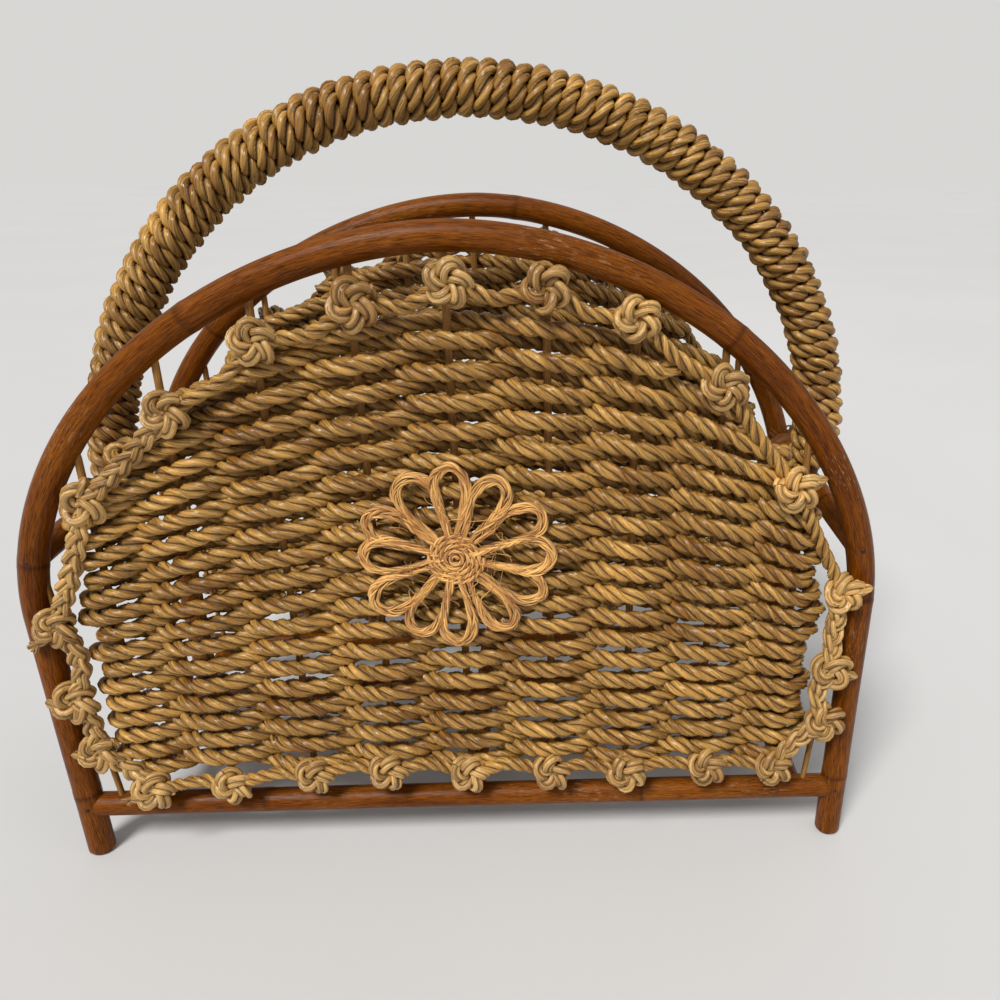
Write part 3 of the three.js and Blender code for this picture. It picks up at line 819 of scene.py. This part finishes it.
class BASKET_OT_poles(bpy.types.Operator):
    """Bends the two hoops and lays the rails, floor bars, side bars and the handle's core"""

    bl_idname = "basket.make_poles"
    bl_label = "Bend the poles"

    def execute(self, context):
        poles, handle, _, _ = sizes()
        for seed, (panel, side) in enumerate(PANELS):
            y = side * poles.panel_y
            hoop = [Vector((x, y, z)) for x, z in arch_points(300, 0.0)]
            hoop = [Vector((poles.leg_x, y, 0.0)), *hoop, Vector((-poles.leg_x, y, 0.0))]
            lay_pole(panel + "_hoop_pole", panel + "_hoop", hoop, HOOP_NODES[panel], seed,
                     poles.pole_radius, ROUND_END)
            rail = sideways(poles.leg_x - RAIL_END, y, poles.rail_height)
            lay_pole(panel + "_rail_pole", panel + "_bottom_rail", rail, RAIL_NODES, seed + 5,
                     poles.rail_radius)
        leg = handle_x(handle_foot())
        bars = (("left", -leg), ("centre", poles.centre_bar_x), ("right", leg))
        for seed, (name, x) in enumerate(bars):
            bar = lengthways(x, poles.panel_y - FLOOR_BAR_END, poles.rail_height)
            lay_pole(name + "_floor_pole", name + "_floor_bar", bar, FLOOR_BAR_NODES, seed + 9,
                     poles.floor_bar_radius)
        z = handle_foot() + poles.rail_radius
        rail = sideways(handle_x(z) - MIDDLE_RAIL_END, 0, z)
        lay_pole("middle_rail_pole", "middle_floor_rail", rail, MIDDLE_RAIL_NODES, 13,
                 poles.rail_radius)
        z = poles.side_bar_height
        for name, side in ENDS:
            bar = lengthways(hoop_x(z, side), poles.panel_y - RAIL_END, z)
            lay_pole(name + "_side_pole", name + "_side_bar", bar, SIDE_BAR_NODES, 16 + side,
                     poles.rail_radius)
        lay_pole("handle_core_pole", "handle_core", handle_line(200), HANDLE_NODES, 21,
                 handle.core_radius)
        return {"FINISHED"}


class BASKET_OT_stakes(bpy.types.Operator):
    """Sets the upright stakes of both panels"""

    bl_idname = "basket.set_stakes"
    bl_label = "Set the stakes"

    def execute(self, context):
        poles = sizes()[0]
        tree = tree_named("Split stake", pole_tree, corners=10, width=1.0, height=0.8)
        for seed, (panel, side) in enumerate(PANELS):
            lines = []
            for i, (foot, top) in enumerate(stake_lines(side * poles.panel_y)):
                if i >= len(STAKE_SHARES):
                    top = top + (foot - top).normalized() * 3 * MM
                lines.append(pole_line([foot, top], (), seed * 20 + i, 4 * MM))
            solids = [f"{panel}_stake_{i + 1}" for i in range(len(lines))]
            grow(panel + "_stakes", lines, tree, "stakes", solids, Radius=poles.stake_radius * 1.06)
        return {"FINISHED"}


def row_height(row, x):
    """Height of a row of the weave: flat at the bottom, more and more arched above."""
    poles, _, ropes, _ = sizes()
    share = row / ropes.rows
    drop = ropes.droop * share ** 1.25 * ((x - poles.hoop_lean) / ropes.end_stake_x) ** 2
    climb = ropes.row_pitch * row * (0.92 + 0.08 * share)
    return ropes.first_row + climb - drop


def row_end(row, side):
    """Place across at which a row has to turn: the end stake, or where it meets the border."""
    ropes = sizes()[2]
    room = ropes.cord_radius + 1.5 * MM
    x = abs(stake_places()[-1 if side > 0 else 0])
    while (x > 10 * MM and row_height(row, side * x)
           >= arch_height(side * x, ropes.border_inset) - room):
        x -= 1.0 * MM
    return side * x


def passing(row, stake):
    """The side on which a row passes a stake: -1 for its front, 1 for its back."""
    return -1 if (row + stake) % 2 == 0 else 1


def row_steps(row, side, start, end, crossed):
    """The bends of a row: places across, and shares of the way from the middle to a side."""
    stakes = stake_places()
    first, last = crossed[0], crossed[-1]
    steps = []
    if abs(start - stakes[first]) > END_ROOM:
        steps.append((start, passing(row, first) * 0.8))
    for a, b in zip(crossed, crossed[1:]):
        third = (stakes[b] - stakes[a]) / 3
        steps += [(stakes[a] - side * 4 * MM, passing(row, a) * 0.98),
                  (stakes[a] + side * 5 * MM, passing(row, a) * 0.98),
                  (stakes[a] + third, passing(row, a) * 0.55),
                  (stakes[b] - third, passing(row, b) * 0.55)]
    steps.append((stakes[last] - side * 4 * MM, passing(row, last) * 0.98))
    if abs(end - stakes[last]) > END_ROOM:
        steps.append((end, passing(row, last) * 0.9))
    else:
        steps.append((stakes[last] + side * MM, passing(row, last)))
    return steps


def weave_line(y, seed, lift):
    """The one rope of a panel: row upon row between the stakes, turning round at each end."""
    poles, _, ropes, _ = sizes()
    rng = random.Random(seed)
    offset = poles.stake_radius + ropes.rope_radius * 0.90
    points = []
    start = row_end(1, -1)
    for row in range(ropes.rows):
        side = 1 if row % 2 == 0 else -1
        end = row_end(min(row + 1, ropes.rows - 1), side)
        crossed = [i for i, x in enumerate(stake_places())
                   if min(start, end) - 3 * MM < x < max(start, end) + 3 * MM] or [MIDDLE_STAKE]
        if side < 0:
            crossed.reverse()
        for x, share in row_steps(row, side, start, end, crossed):
            shake = noise.noise(Vector((x * 22, row * 1.7, seed))) * 1.1 * MM
            points.append(Vector((x, y + offset * share, row_height(row, x) + shake)))
        if row < ropes.rows - 1:
            here = points[-1].x
            low = row_height(row, here)
            beyond = (7.5 + rng.uniform(-3.0, 5.5)) * MM
            rise = row_height(row + 1, here) - low
            for k, share in enumerate(TURN_SHARES, 1):
                out = side * beyond * sin(pi * k / TURN_STEPS)
                points.append(Vector((here + out, y + offset * passing(row, crossed[-1]) * share,
                                      low + rise * k / TURN_STEPS)))
            start = end
    for point in points:
        point.z += lift
    return even_steps(smooth_line(points, 6), 1.5 * MM)


class BASKET_OT_weave(bpy.types.Operator):
    """Weaves the seagrass rope of both panels"""

    bl_idname = "basket.weave_panels"
    bl_label = "Weave the panels"

    def execute(self, context):
        poles, _, ropes, _ = sizes()
        for seed, (panel, side) in enumerate(PANELS):
            line = weave_line(side * poles.panel_y, 11 + seed, seed * ropes.row_pitch * REAR_LIFT)
            grow_rope(panel + "_weave", panel + "_weave_rope", [even_line(line)], "seagrass",
                      radius=ropes.rope_radius * (1 + REAR_THICKER * seed), lay=ropes.rope_lay,
                      step=2.05 * MM, unevenness=0.32, seed=3.0 + seed)
        return {"FINISHED"}


def places_down(stake, shares):
    """Places (x, z) at shares of the way down a stake."""
    foot, top = stake
    return [(point.x, point.z) for point in (top.lerp(foot, share) for share in shares)]


def knot_places():
    """Places (x, z) of the knots, clockwise from the top of the left end stake."""
    poles, _, ropes, _ = sizes()
    top = [(x, arch_height(x, ropes.border_inset)) for x in stake_places()]
    low = poles.rail_height + poles.rail_radius + ropes.bottom_knot_lift
    bottom = [(x, low) for x in reversed(stake_places())]
    left, right = stake_lines(0.0)[-2:]
    return (top + places_down(right, RIGHT_KNOT_SHARES)
            + bottom + places_down(left, LEFT_KNOT_SHARES))


def rosette(centre, outward, rng):
    """The line of a rosette knot: a cord that runs twice round, in five or three loops."""
    ropes = sizes()[2]
    cord = ropes.cord_radius * 0.84
    loops = rng.choice((5, 5, 5, 3))
    spin = rng.uniform(0, tau)
    wide = ropes.knot_radius * rng.uniform(0.95, 1.05) - cord
    middle, swing = wide * 0.60, wide * 0.40
    depth = ropes.knot_depth - cord
    squeeze = rng.uniform(0.86, 1.0)
    lean = rng.uniform(0, pi)
    points = []
    for k in range(KNOT_STEPS + 1):
        turn = 2 * tau * k / KNOT_STEPS
        reach = middle + swing * cos(loops * turn / 2)
        out = depth * sin(loops * turn / 2 + 0.4)
        x, z = reach * cos(turn + spin), reach * sin(turn + spin)
        along = x * cos(lean) + z * sin(lean)
        across = (z * cos(lean) - x * sin(lean)) * squeeze
        points.append(centre + Vector((along * cos(lean) - across * sin(lean), outward * out,
                                       along * sin(lean) + across * cos(lean))))
    return points


def plait(first, last, inward, outward, bow):
    """Three strands plaited with each other on their way from one knot to the next."""
    ropes = sizes()[2]
    wide, thick = ropes.strand_radius * 0.95, ropes.strand_radius * 0.6
    repeats = (last - first).length / ropes.plait_length
    lines = []
    for strand in range(3):
        line = []
        for k in range(LOOP_STEPS + 1):
            share = k / LOOP_STEPS
            turn = tau * (share * repeats + strand / 3)
            swing = wide * cos(turn) + bow * MM * sin(pi * share)
            lift = thick * (sin(2 * turn) + 0.6)
            line.append(first.lerp(last, share) + inward * swing + BACKWARDS * (outward * lift))
        lines.append(line)
    return lines


def plain_cord(first, last, inward, outward, bow):
    """A cord on its way from one knot to the next, hanging in by its bow."""
    bends = [first.lerp(last, share) + inward * (sag * bow) * MM
             - BACKWARDS * (outward * back * MM) for share, sag, back in CORD_BENDS]
    return smooth_line([first, *bends, last], 8)


def loose_end(place, outward, direction, fibres, rng):
    """The end of a cord that sticks out of a knot, with frayed fibres where there are any."""
    radius = sizes()[2].knot_radius
    across = Vector((direction[0], 0, direction[1])).normalized()
    lift = BACKWARDS * (outward * 2.5 * MM)
    first = place + across * radius * 0.45 + lift
    last = place + across * radius * 1.22 + lift * 0.3
    line = even_steps([first, last], 0.9 * MM)
    pieces = [[(point, 0.85 * sqrt(max(1.0 - (k / (len(line) - 1)) ** 4, 0.05)), 0.0)
               for k, point in enumerate(line)]]
    for _ in range(fibres):
        fan = across + Vector((rng.uniform(-0.8, 0.8), outward * rng.uniform(-0.2, 0.5),
                               rng.uniform(-0.8, 0.8)))
        tip = last + fan.normalized() * rng.uniform(1.5, 4.5) * MM
        root = last - across * 3 * MM
        bent = root.lerp(tip, 0.5) + Vector((rng.uniform(-1, 1), 0, rng.uniform(-1, 1))) * 0.8 * MM
        pieces.append(even_line(even_steps(smooth_line([root, bent, tip], 4), 0.9 * MM), 0.26))
    return pieces


class BASKET_OT_borders(bpy.types.Operator):
    """Ties the knotted border cords of both panels"""

    bl_idname = "basket.tie_borders"
    bl_label = "Tie the borders"

    def execute(self, context):
        poles, _, ropes, _ = sizes()
        for seed, (panel, side) in enumerate(PANELS):
            rng = random.Random(40 + seed)
            y = side * (poles.panel_y + poles.stake_radius + GAP + ropes.knot_depth)
            places = [Vector((x, y, z)) for x, z in knot_places()]
            if side < 0:
                for place, (across, up) in zip(places, KNOT_SHIFTS):
                    place += Vector((across, 0, up)) * MM
            middle = Vector((0.0, y, PANEL_MIDDLE))
            cords, knots = [], []
            for i, place in enumerate(places):
                after = places[(i + 1) % len(places)]
                span = (place, after, (middle - place.lerp(after, 0.5)).normalized(), side, BOWS[i])
                if i in PLAITED_SPANS:
                    thick = ropes.strand_radius / ropes.cord_radius
                    knots += [even_line(even_steps(line, MM), thick) for line in plait(*span)]
                else:
                    cords.append(even_line(even_steps(plain_cord(*span), MM)))
                knots.append(even_line(rosette(place, side, rng), rng.uniform(0.84, 0.94)))
                if i in LOOSE_ENDS and side < 0:
                    knots += loose_end(place, side, *LOOSE_ENDS[i], rng)
            grow_rope(panel + "_border", panel + "_knotted_border", cords, "seagrass",
                      radius=ropes.cord_radius, lay=ropes.cord_lay, step=1.7 * MM,
                      unevenness=0.3, seed=7.0 + seed)
            grow_rope(panel + "_knots", panel + "_knotted_border", knots, "knots",
                      radius=ropes.cord_radius, lay=ropes.knot_lay, step=1.7 * MM,
                      unevenness=0.4, seed=7.0 + seed)
        return {"FINISHED"}


class BASKET_OT_handle(bpy.types.Operator):
    """Winds the handle with seagrass rope from side bar to side bar"""

    bl_idname = "basket.wind_handle"
    bl_label = "Wind the handle"

    def execute(self, context):
        poles, handle, _, _ = sizes()
        low = poles.side_bar_height + poles.rail_radius + 4.5 * MM
        even = even_steps([point for point in handle_line(400) if point.z > low], MM)
        spans = len(even) - 1
        steps = round(MM * spans / handle.turn_pitch) * STEPS_IN_A_TURN
        reach = handle.core_radius + handle.rope_radius * 0.55
        spiral = []
        for k in range(steps + 1):
            want = spans * k / steps
            i = min(int(want), spans - 1)
            outward = (even[i + 1] - even[i]).normalized().cross(BACKWARDS).normalized()
            turn = tau * k / STEPS_IN_A_TURN
            shake = 1 + 0.09 * noise.noise(Vector((k * 0.23, 2.0, 9.0)))
            point = even[i].lerp(even[i + 1], want - i)
            spiral.append(point + reach * shake * (outward * cos(turn) + BACKWARDS * sin(turn)))
        before = spiral[0] + (spiral[0] - spiral[1]).normalized() * 9 * MM
        after = spiral[-1] + (spiral[-1] - spiral[-2]).normalized() * 6 * MM
        line = even_line(even_steps(smooth_line([before, *spiral, after], 3), MM))
        grow_rope("handle_winding", "handle_wrap", [line], "seagrass",
                  radius=handle.rope_radius, lay=handle.rope_lay, step=1.6 * MM,
                  unevenness=0.45, seed=12.0)
        return {"FINISHED"}


def twisted_bundle(line, number_of_strands, reach, lay, rng):
    """Strands that wind loosely round a line lying in the panel's plane.

    Each point comes with the share by which it lies on the strand's hidden side, which the raffia
    darkens as painted shade.
    """
    start = rng.uniform(0, tau)
    bundle = []
    for number_in_bundle in range(number_of_strands):
        strand, along = [], 0.0
        loose = rng.uniform(0, 50)
        for i, point in enumerate(line):
            ahead = line[min(i + 1, len(line) - 1)] - line[max(i - 1, 0)]
            across = ahead.cross(BACKWARDS).normalized()
            wander = 0.9 * noise.noise(Vector((along / (7 * MM), loose, 0.0)))
            turn = start + tau * (number_in_bundle / number_of_strands + along / lay) + wander
            far = reach * (1.0 + 0.5 * noise.noise(Vector((along / (5 * MM), loose, 7.0))))
            place = point + across * far * cos(turn) + BACKWARDS * (far * sin(turn))
            strand.append((place, 0.5 + 0.5 * sin(turn)))
            if i < len(line) - 1:
                along += (line[i + 1] - point).length
        bundle.append(strand)
    return bundle


def petal_strands(centre, back, rng):
    """The twisted strands of all petals. Each petal is a loop with its ends at the middle."""
    flower = sizes()[3]
    outline = (*PETAL_SHAPE, (1.0, 0.0), *((a, -b) for a, b in reversed(PETAL_SHAPE)))
    strands = []
    for i in range(flower.petals):
        turn = tau * (i + 0.12 * rng.uniform(-1, 1)) / flower.petals
        out, side = Vector((cos(turn), 0, sin(turn))), Vector((-sin(turn), 0, cos(turn)))
        far = flower.radius * rng.uniform(0.93, 1.0)
        half = flower.petal_width / 2 * rng.uniform(0.86, 1.06)
        for k in range(flower.bundles):
            inset = (0.8 + 1.5 * k + rng.uniform(-0.3, 0.3)) * MM
            deep = back - rng.uniform(1.8, 3.6) * MM
            shift = Vector([rng.uniform(0, 50) for _ in range(3)])
            line = []
            for j, (a, b) in enumerate(outline):
                point = centre + out * (far - inset) * a + side * max(half - inset, 1.5 * MM) * b
                point += noise.noise_vector(shift + Vector((j * 0.9, 0, 0))) * MM
                point.y = deep + 0.8 * MM * noise.noise(shift + Vector((j * 0.8, 9, 0)))
                line.append(point)
            line = even_steps(smooth_line(line, 6), 1.1 * MM)
            lay = rng.choice((-1, 1)) * rng.uniform(16, 30) * MM
            # Each strand keeps its hidden-side share as its ring value: painted shade on the
            # raffia.
            for strand in twisted_bundle(line, flower.strands, 0.66 * MM, lay, rng):
                thick = rng.uniform(0.75, 1.2)
                strands.append([(point, thick, dark) for point, dark in strand])
    return strands


def hair_lines(centre, back, rng):
    """Loose fibres that curl between the petals."""
    flower = sizes()[3]
    hairs = []
    for _ in range(flower.hairs):
        turn = rng.uniform(0, tau)
        out = Vector((cos(turn), 0, sin(turn)))
        first = centre + out * (rng.uniform(0.28, 0.62) * flower.radius)
        bend = Vector((rng.uniform(-1, 1), 0, rng.uniform(-1, 1))).normalized()
        span = rng.uniform(5, 13) * MM
        line = []
        for t in (0.0, 0.33, 0.67, 1.0):
            curl = out.cross(BACKWARDS) * span * 0.5 * (t - t * t) * rng.choice((-1, 1))
            point = first + bend * span * t + curl
            point.y = back - rng.uniform(3.4, 4.6) * MM
            line.append(point)
        hairs.append(even_line(even_steps(smooth_line(line, 4), 1.2 * MM), 0.24))
    return hairs


def spiral_points(centre, steps, turns, start, reach, growth, y, dish):
    """A spiral round the flower's middle, growing outwards and dished towards its rim."""
    points = []
    for k in range(steps + 1):
        share = k / steps
        far = reach + growth * share
        turn = tau * turns * share + start
        points.append(centre + Vector((far * cos(turn), y + dish(share), far * sin(turn))))
    return points


class BASKET_OT_flower(bpy.types.Operator):
    """Makes the raffia flower: looped petals of twisted strands round a coiled middle"""

    bl_idname = "basket.make_flower"
    bl_label = "Make the flower"

    def execute(self, context):
        flower = sizes()[3]
        rng = random.Random(FLOWER_SEED)
        noise.seed_set(FLOWER_SEED)
        low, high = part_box("raffia_petals")
        centre = Vector((flower.place_x, 0.0, flower.place_z))
        strands = petal_strands(centre, high.y, rng) + hair_lines(centre, high.y, rng)
        tree = tree_named("Raffia strand", pole_tree, corners=7, width=1.2, height=0.85)
        grow("raffia_petal_loops", strands, tree, "raffia", ("raffia_petals",),
             Radius=flower.strand_radius)
        coil = spiral_points(centre, steps=230, turns=5.0, start=0.0, reach=MM,
                             growth=flower.disc_radius - 0.2 * MM, y=low.y,
                             dish=lambda share: (1.0 + 0.9 * share ** 2) * MM)
        # The coiled strands keep their hidden-side share as painted shade.
        coil = twisted_bundle(even_steps(coil, 0.8 * MM), 5, 0.72 * MM, 12 * MM, rng)
        # A thick strand behind the coil, fully darkened: painted shade in the gaps between the
        # windings.
        painted_shade_coil = spiral_points(centre, steps=200, turns=5.7, start=1.0, reach=0.6 * MM,
                              growth=flower.disc_radius - 2.4 * MM, y=low.y,
                              dish=lambda share: 2.6 * MM)
        lines = [[(point, 1.0, dark) for point, dark in strand] for strand in coil]
        lines.append(even_line(painted_shade_coil, thick=2.2, dark=1.0))
        tree = tree_named("Raffia coil", pole_tree, corners=7, width=1.0, height=1.0)
        grow("raffia_coil", lines, tree, "raffia", ("raffia_centre",), Radius=0.46 * MM)
        return {"FINISHED"}


def binding_lines(side):
    """Strips of cane: one wound round a side bar, four crossed over its joint with the hoop."""
    poles = sizes()[0]
    x, z = hoop_x(poles.side_bar_height, side), poles.side_bar_height
    bar = poles.rail_radius + 0.9 * MM
    start = poles.panel_y - poles.pole_radius - 3 * MM
    coil = []
    for k in range(COIL_STEPS + 1):
        turn = tau * COIL_TURNS * k / COIL_STEPS
        coil.append(Vector((x + bar * cos(turn), start - 14 * MM * k / COIL_STEPS,
                            z + bar * sin(turn))))
    lines = [coil]
    joint = Vector((x, poles.panel_y, z))
    pole = poles.pole_radius + 0.8 * MM
    for slant in (-1, 1):
        for shift in (-1.6 * MM, 1.6 * MM):
            loop = []
            for k in range(LOOP_STEPS + 1):
                turn = tau * k / LOOP_STEPS
                rise = slant * (bar + 0.5 * MM) * cos(turn) + shift
                loop.append(joint + Vector((pole * cos(turn), -pole * sin(turn) - 1.2 * MM, rise)))
            lines.append(loop)
    return [even_line(even_steps(line, 1.2 * MM)) for line in lines]


class BASKET_OT_lashings(bpy.types.Operator):
    """Lashes the side bars to the rear hoop with strips of cane"""

    bl_idname = "basket.lash_joints"
    bl_label = "Lash the joints"

    def execute(self, context):
        tree = tree_named("Cane strip", pole_tree, corners=10, width=1.5, height=0.45)
        for name, side in ENDS:
            grow(name + "_lashing", binding_lines(side), tree, "cane", (name + "_cane_binding",),
                 Radius=1.1 * MM)
        return {"FINISHED"}


def nail_head(centre, outward):
    """Corners and faces of a small turned head."""
    across = outward.orthogonal().normalized()
    other = outward.cross(across)
    around = range(NAIL_CORNERS)
    corners = []
    for radius, height in NAIL_HEAD:
        for j in around:
            turn = tau * j / NAIL_CORNERS
            corners.append(centre + outward * height
                           + radius * (across * cos(turn) + other * sin(turn)))
    last = (len(NAIL_HEAD) - 1) * NAIL_CORNERS
    faces = []
    for low in range(0, last, NAIL_CORNERS):
        high = low + NAIL_CORNERS
        for j in around:
            k = (j + 1) % NAIL_CORNERS
            faces.append((low + j, low + k, high + k, high + j))
    return corners, [*faces, tuple(reversed(around)), tuple(last + j for j in around)]


class BASKET_OT_nails(bpy.types.Operator):
    """Drives the nails that hold the rails and bars to the hoops"""

    bl_idname = "basket.drive_nails"
    bl_label = "Drive the nails"

    def execute(self, context):
        poles = sizes()[0]
        corners, faces = [], []
        for _, side in ENDS:
            for _, panel in PANELS:
                y = panel * (poles.panel_y + poles.pole_radius - 0.1 * MM)
                for x, z in ((side * (poles.leg_x - MM), poles.rail_height + MM),
                             (hoop_x(poles.side_bar_height, side), poles.side_bar_height)):
                    head, head_faces = nail_head(Vector((x, y, z)), Vector((0, panel, 0)))
                    faces += [tuple(len(corners) + i for i in face) for face in head_faces]
                    corners += head
        mesh = bpy.data.meshes.new("nail_heads")
        mesh.from_pydata(corners, [], faces)
        mesh.materials.append(iron_material())
        for polygon in mesh.polygons:
            polygon.use_smooth = True
        join_basket(bpy.data.objects.new("nail_heads", mesh))
        return {"FINISHED"}


def lay_floor():
    """The pale floor, a wide plain cloth."""
    reach = 6
    mesh = bpy.data.meshes.new("floor")
    mesh.from_pydata([(-reach, -reach, 0), (reach, -reach, 0), (reach, reach, 0),
                      (-reach, reach, 0)], [], [(0, 1, 2, 3)])
    floor = bpy.data.objects.new("floor", mesh)
    material, tree, shader, objects = new_material("floor_cloth")
    faint = spread(tree, blotches(tree, objects, 3.0), 0.3, 0.7, 0.97, 1.0)
    tint = shade(tree, tuple(bpy.context.scene.basket_colours.floor), faint)
    end_shader(tree, shader, tint, 0.9)
    mesh.materials.append(material)
    bpy.context.scene.collection.objects.link(floor)


def add_light(name, kind, direction, place=(0, 0, 0), **settings):
    """A light that shines along a direction."""
    lamp = bpy.data.lights.new(name, kind)
    for setting, value in settings.items():
        setattr(lamp, setting, value)
    holder = bpy.data.objects.new(name, lamp)
    holder.location = place
    holder.rotation_euler = direction.to_track_quat("-Z", "Y").to_euler()
    bpy.context.scene.collection.objects.link(holder)


def make_world():
    """Soft light from all round, and a plain backdrop where the camera looks past the floor."""
    world = bpy.data.worlds.new("studio")
    bpy.context.scene.world = world
    world.use_nodes = True
    tree = world.node_tree
    tree.nodes.clear()
    seen = tree.nodes.new("ShaderNodeLightPath").outputs["Is Camera Ray"]
    soft = add_node(tree, "ShaderNodeBackground", {"Color": (1, 1, 1, 1), "Strength": 0.42})
    bright = add_node(tree, "ShaderNodeBackground", {"Color": BACKDROP, "Strength": 1.0})
    mixed = add_node(tree, "ShaderNodeMixShader",
                     {0: seen, 1: soft.outputs[0], 2: bright.outputs[0]})
    out = tree.nodes.new("ShaderNodeOutputWorld")
    tree.links.new(mixed.outputs[0], out.inputs[0])


def place_camera():
    """The camera, where the photograph was taken."""
    lens = bpy.data.cameras.new("photo_camera")
    lens.sensor_width = 36
    lens.lens = LENS
    lens.shift_x, lens.shift_y = SHIFT_X, SHIFT_Y
    lens.clip_start = 0.01
    camera = bpy.data.objects.new("photo_camera", lens)
    turned = Matrix((CAMERA_RIGHT, CAMERA_UP, -CAMERA_AHEAD)).transposed().to_4x4()
    camera.matrix_world = Matrix.Translation(CAMERA_PLACE) @ turned
    bpy.context.scene.collection.objects.link(camera)
    bpy.context.scene.camera = camera


class BASKET_OT_stage(bpy.types.Operator):
    """Lays the pale floor and sets the lights, the world and the camera"""

    bl_idname = "basket.set_stage"
    bl_label = "Set the stage"

    def execute(self, context):
        lay_floor()
        add_light("key_light", "SUN", KEY_DIRECTION, energy=3.2, angle=0.30,
                  color=(1.0, 0.98, 0.95))
        for name, place, target, size, power in AREA_LIGHTS:
            add_light(name, "AREA", Vector(target) - Vector(place), place, shape="SQUARE",
                      size=size, energy=power)
        make_world()
        place_camera()
        context.scene.view_settings.view_transform = "Standard"
        return {"FINISHED"}


OPERATORS = (BASKET_OT_stage, BASKET_OT_poles, BASKET_OT_stakes, BASKET_OT_weave, BASKET_OT_borders,
             BASKET_OT_handle, BASKET_OT_flower, BASKET_OT_lashings, BASKET_OT_nails)
GROUPS = (("basket_poles", BasketPoleSizes), ("basket_handle", BasketHandleSizes),
          ("basket_ropes", BasketRopeSizes), ("basket_flower", BasketFlowerSizes),
          ("basket_colours", BasketColours))


class BASKET_PT_panel(bpy.types.Panel):
    """Sizes, colours and steps of the basket"""

    bl_idname = "BASKET_PT_panel"
    bl_label = "Magazine basket"
    bl_space_type = "VIEW_3D"
    bl_region_type = "UI"
    bl_category = "Basket"

    def draw(self, context):
        for name, group in GROUPS:
            box = self.layout.box()
            box.label(text=group.__doc__.rstrip("."))
            for prop in group.__annotations__:
                box.prop(getattr(context.scene, name), prop)
        for operator in OPERATORS:
            self.layout.operator(operator.bl_idname)


def register():
    for name, group in GROUPS:
        bpy.utils.register_class(group)
        setattr(bpy.types.Scene, name, PointerProperty(type=group))
    for made in (*OPERATORS, BASKET_PT_panel):
        bpy.utils.register_class(made)


def unregister():
    for made in reversed((*OPERATORS, BASKET_PT_panel)):
        bpy.utils.unregister_class(made)
    for name, group in reversed(GROUPS):
        delattr(bpy.types.Scene, name)
        bpy.utils.unregister_class(group)


def main():
    register()
    for operator in OPERATORS:
        family, name = operator.bl_idname.split(".")
        getattr(getattr(bpy.ops, family), name)()


if __name__ == "__main__":
    main()
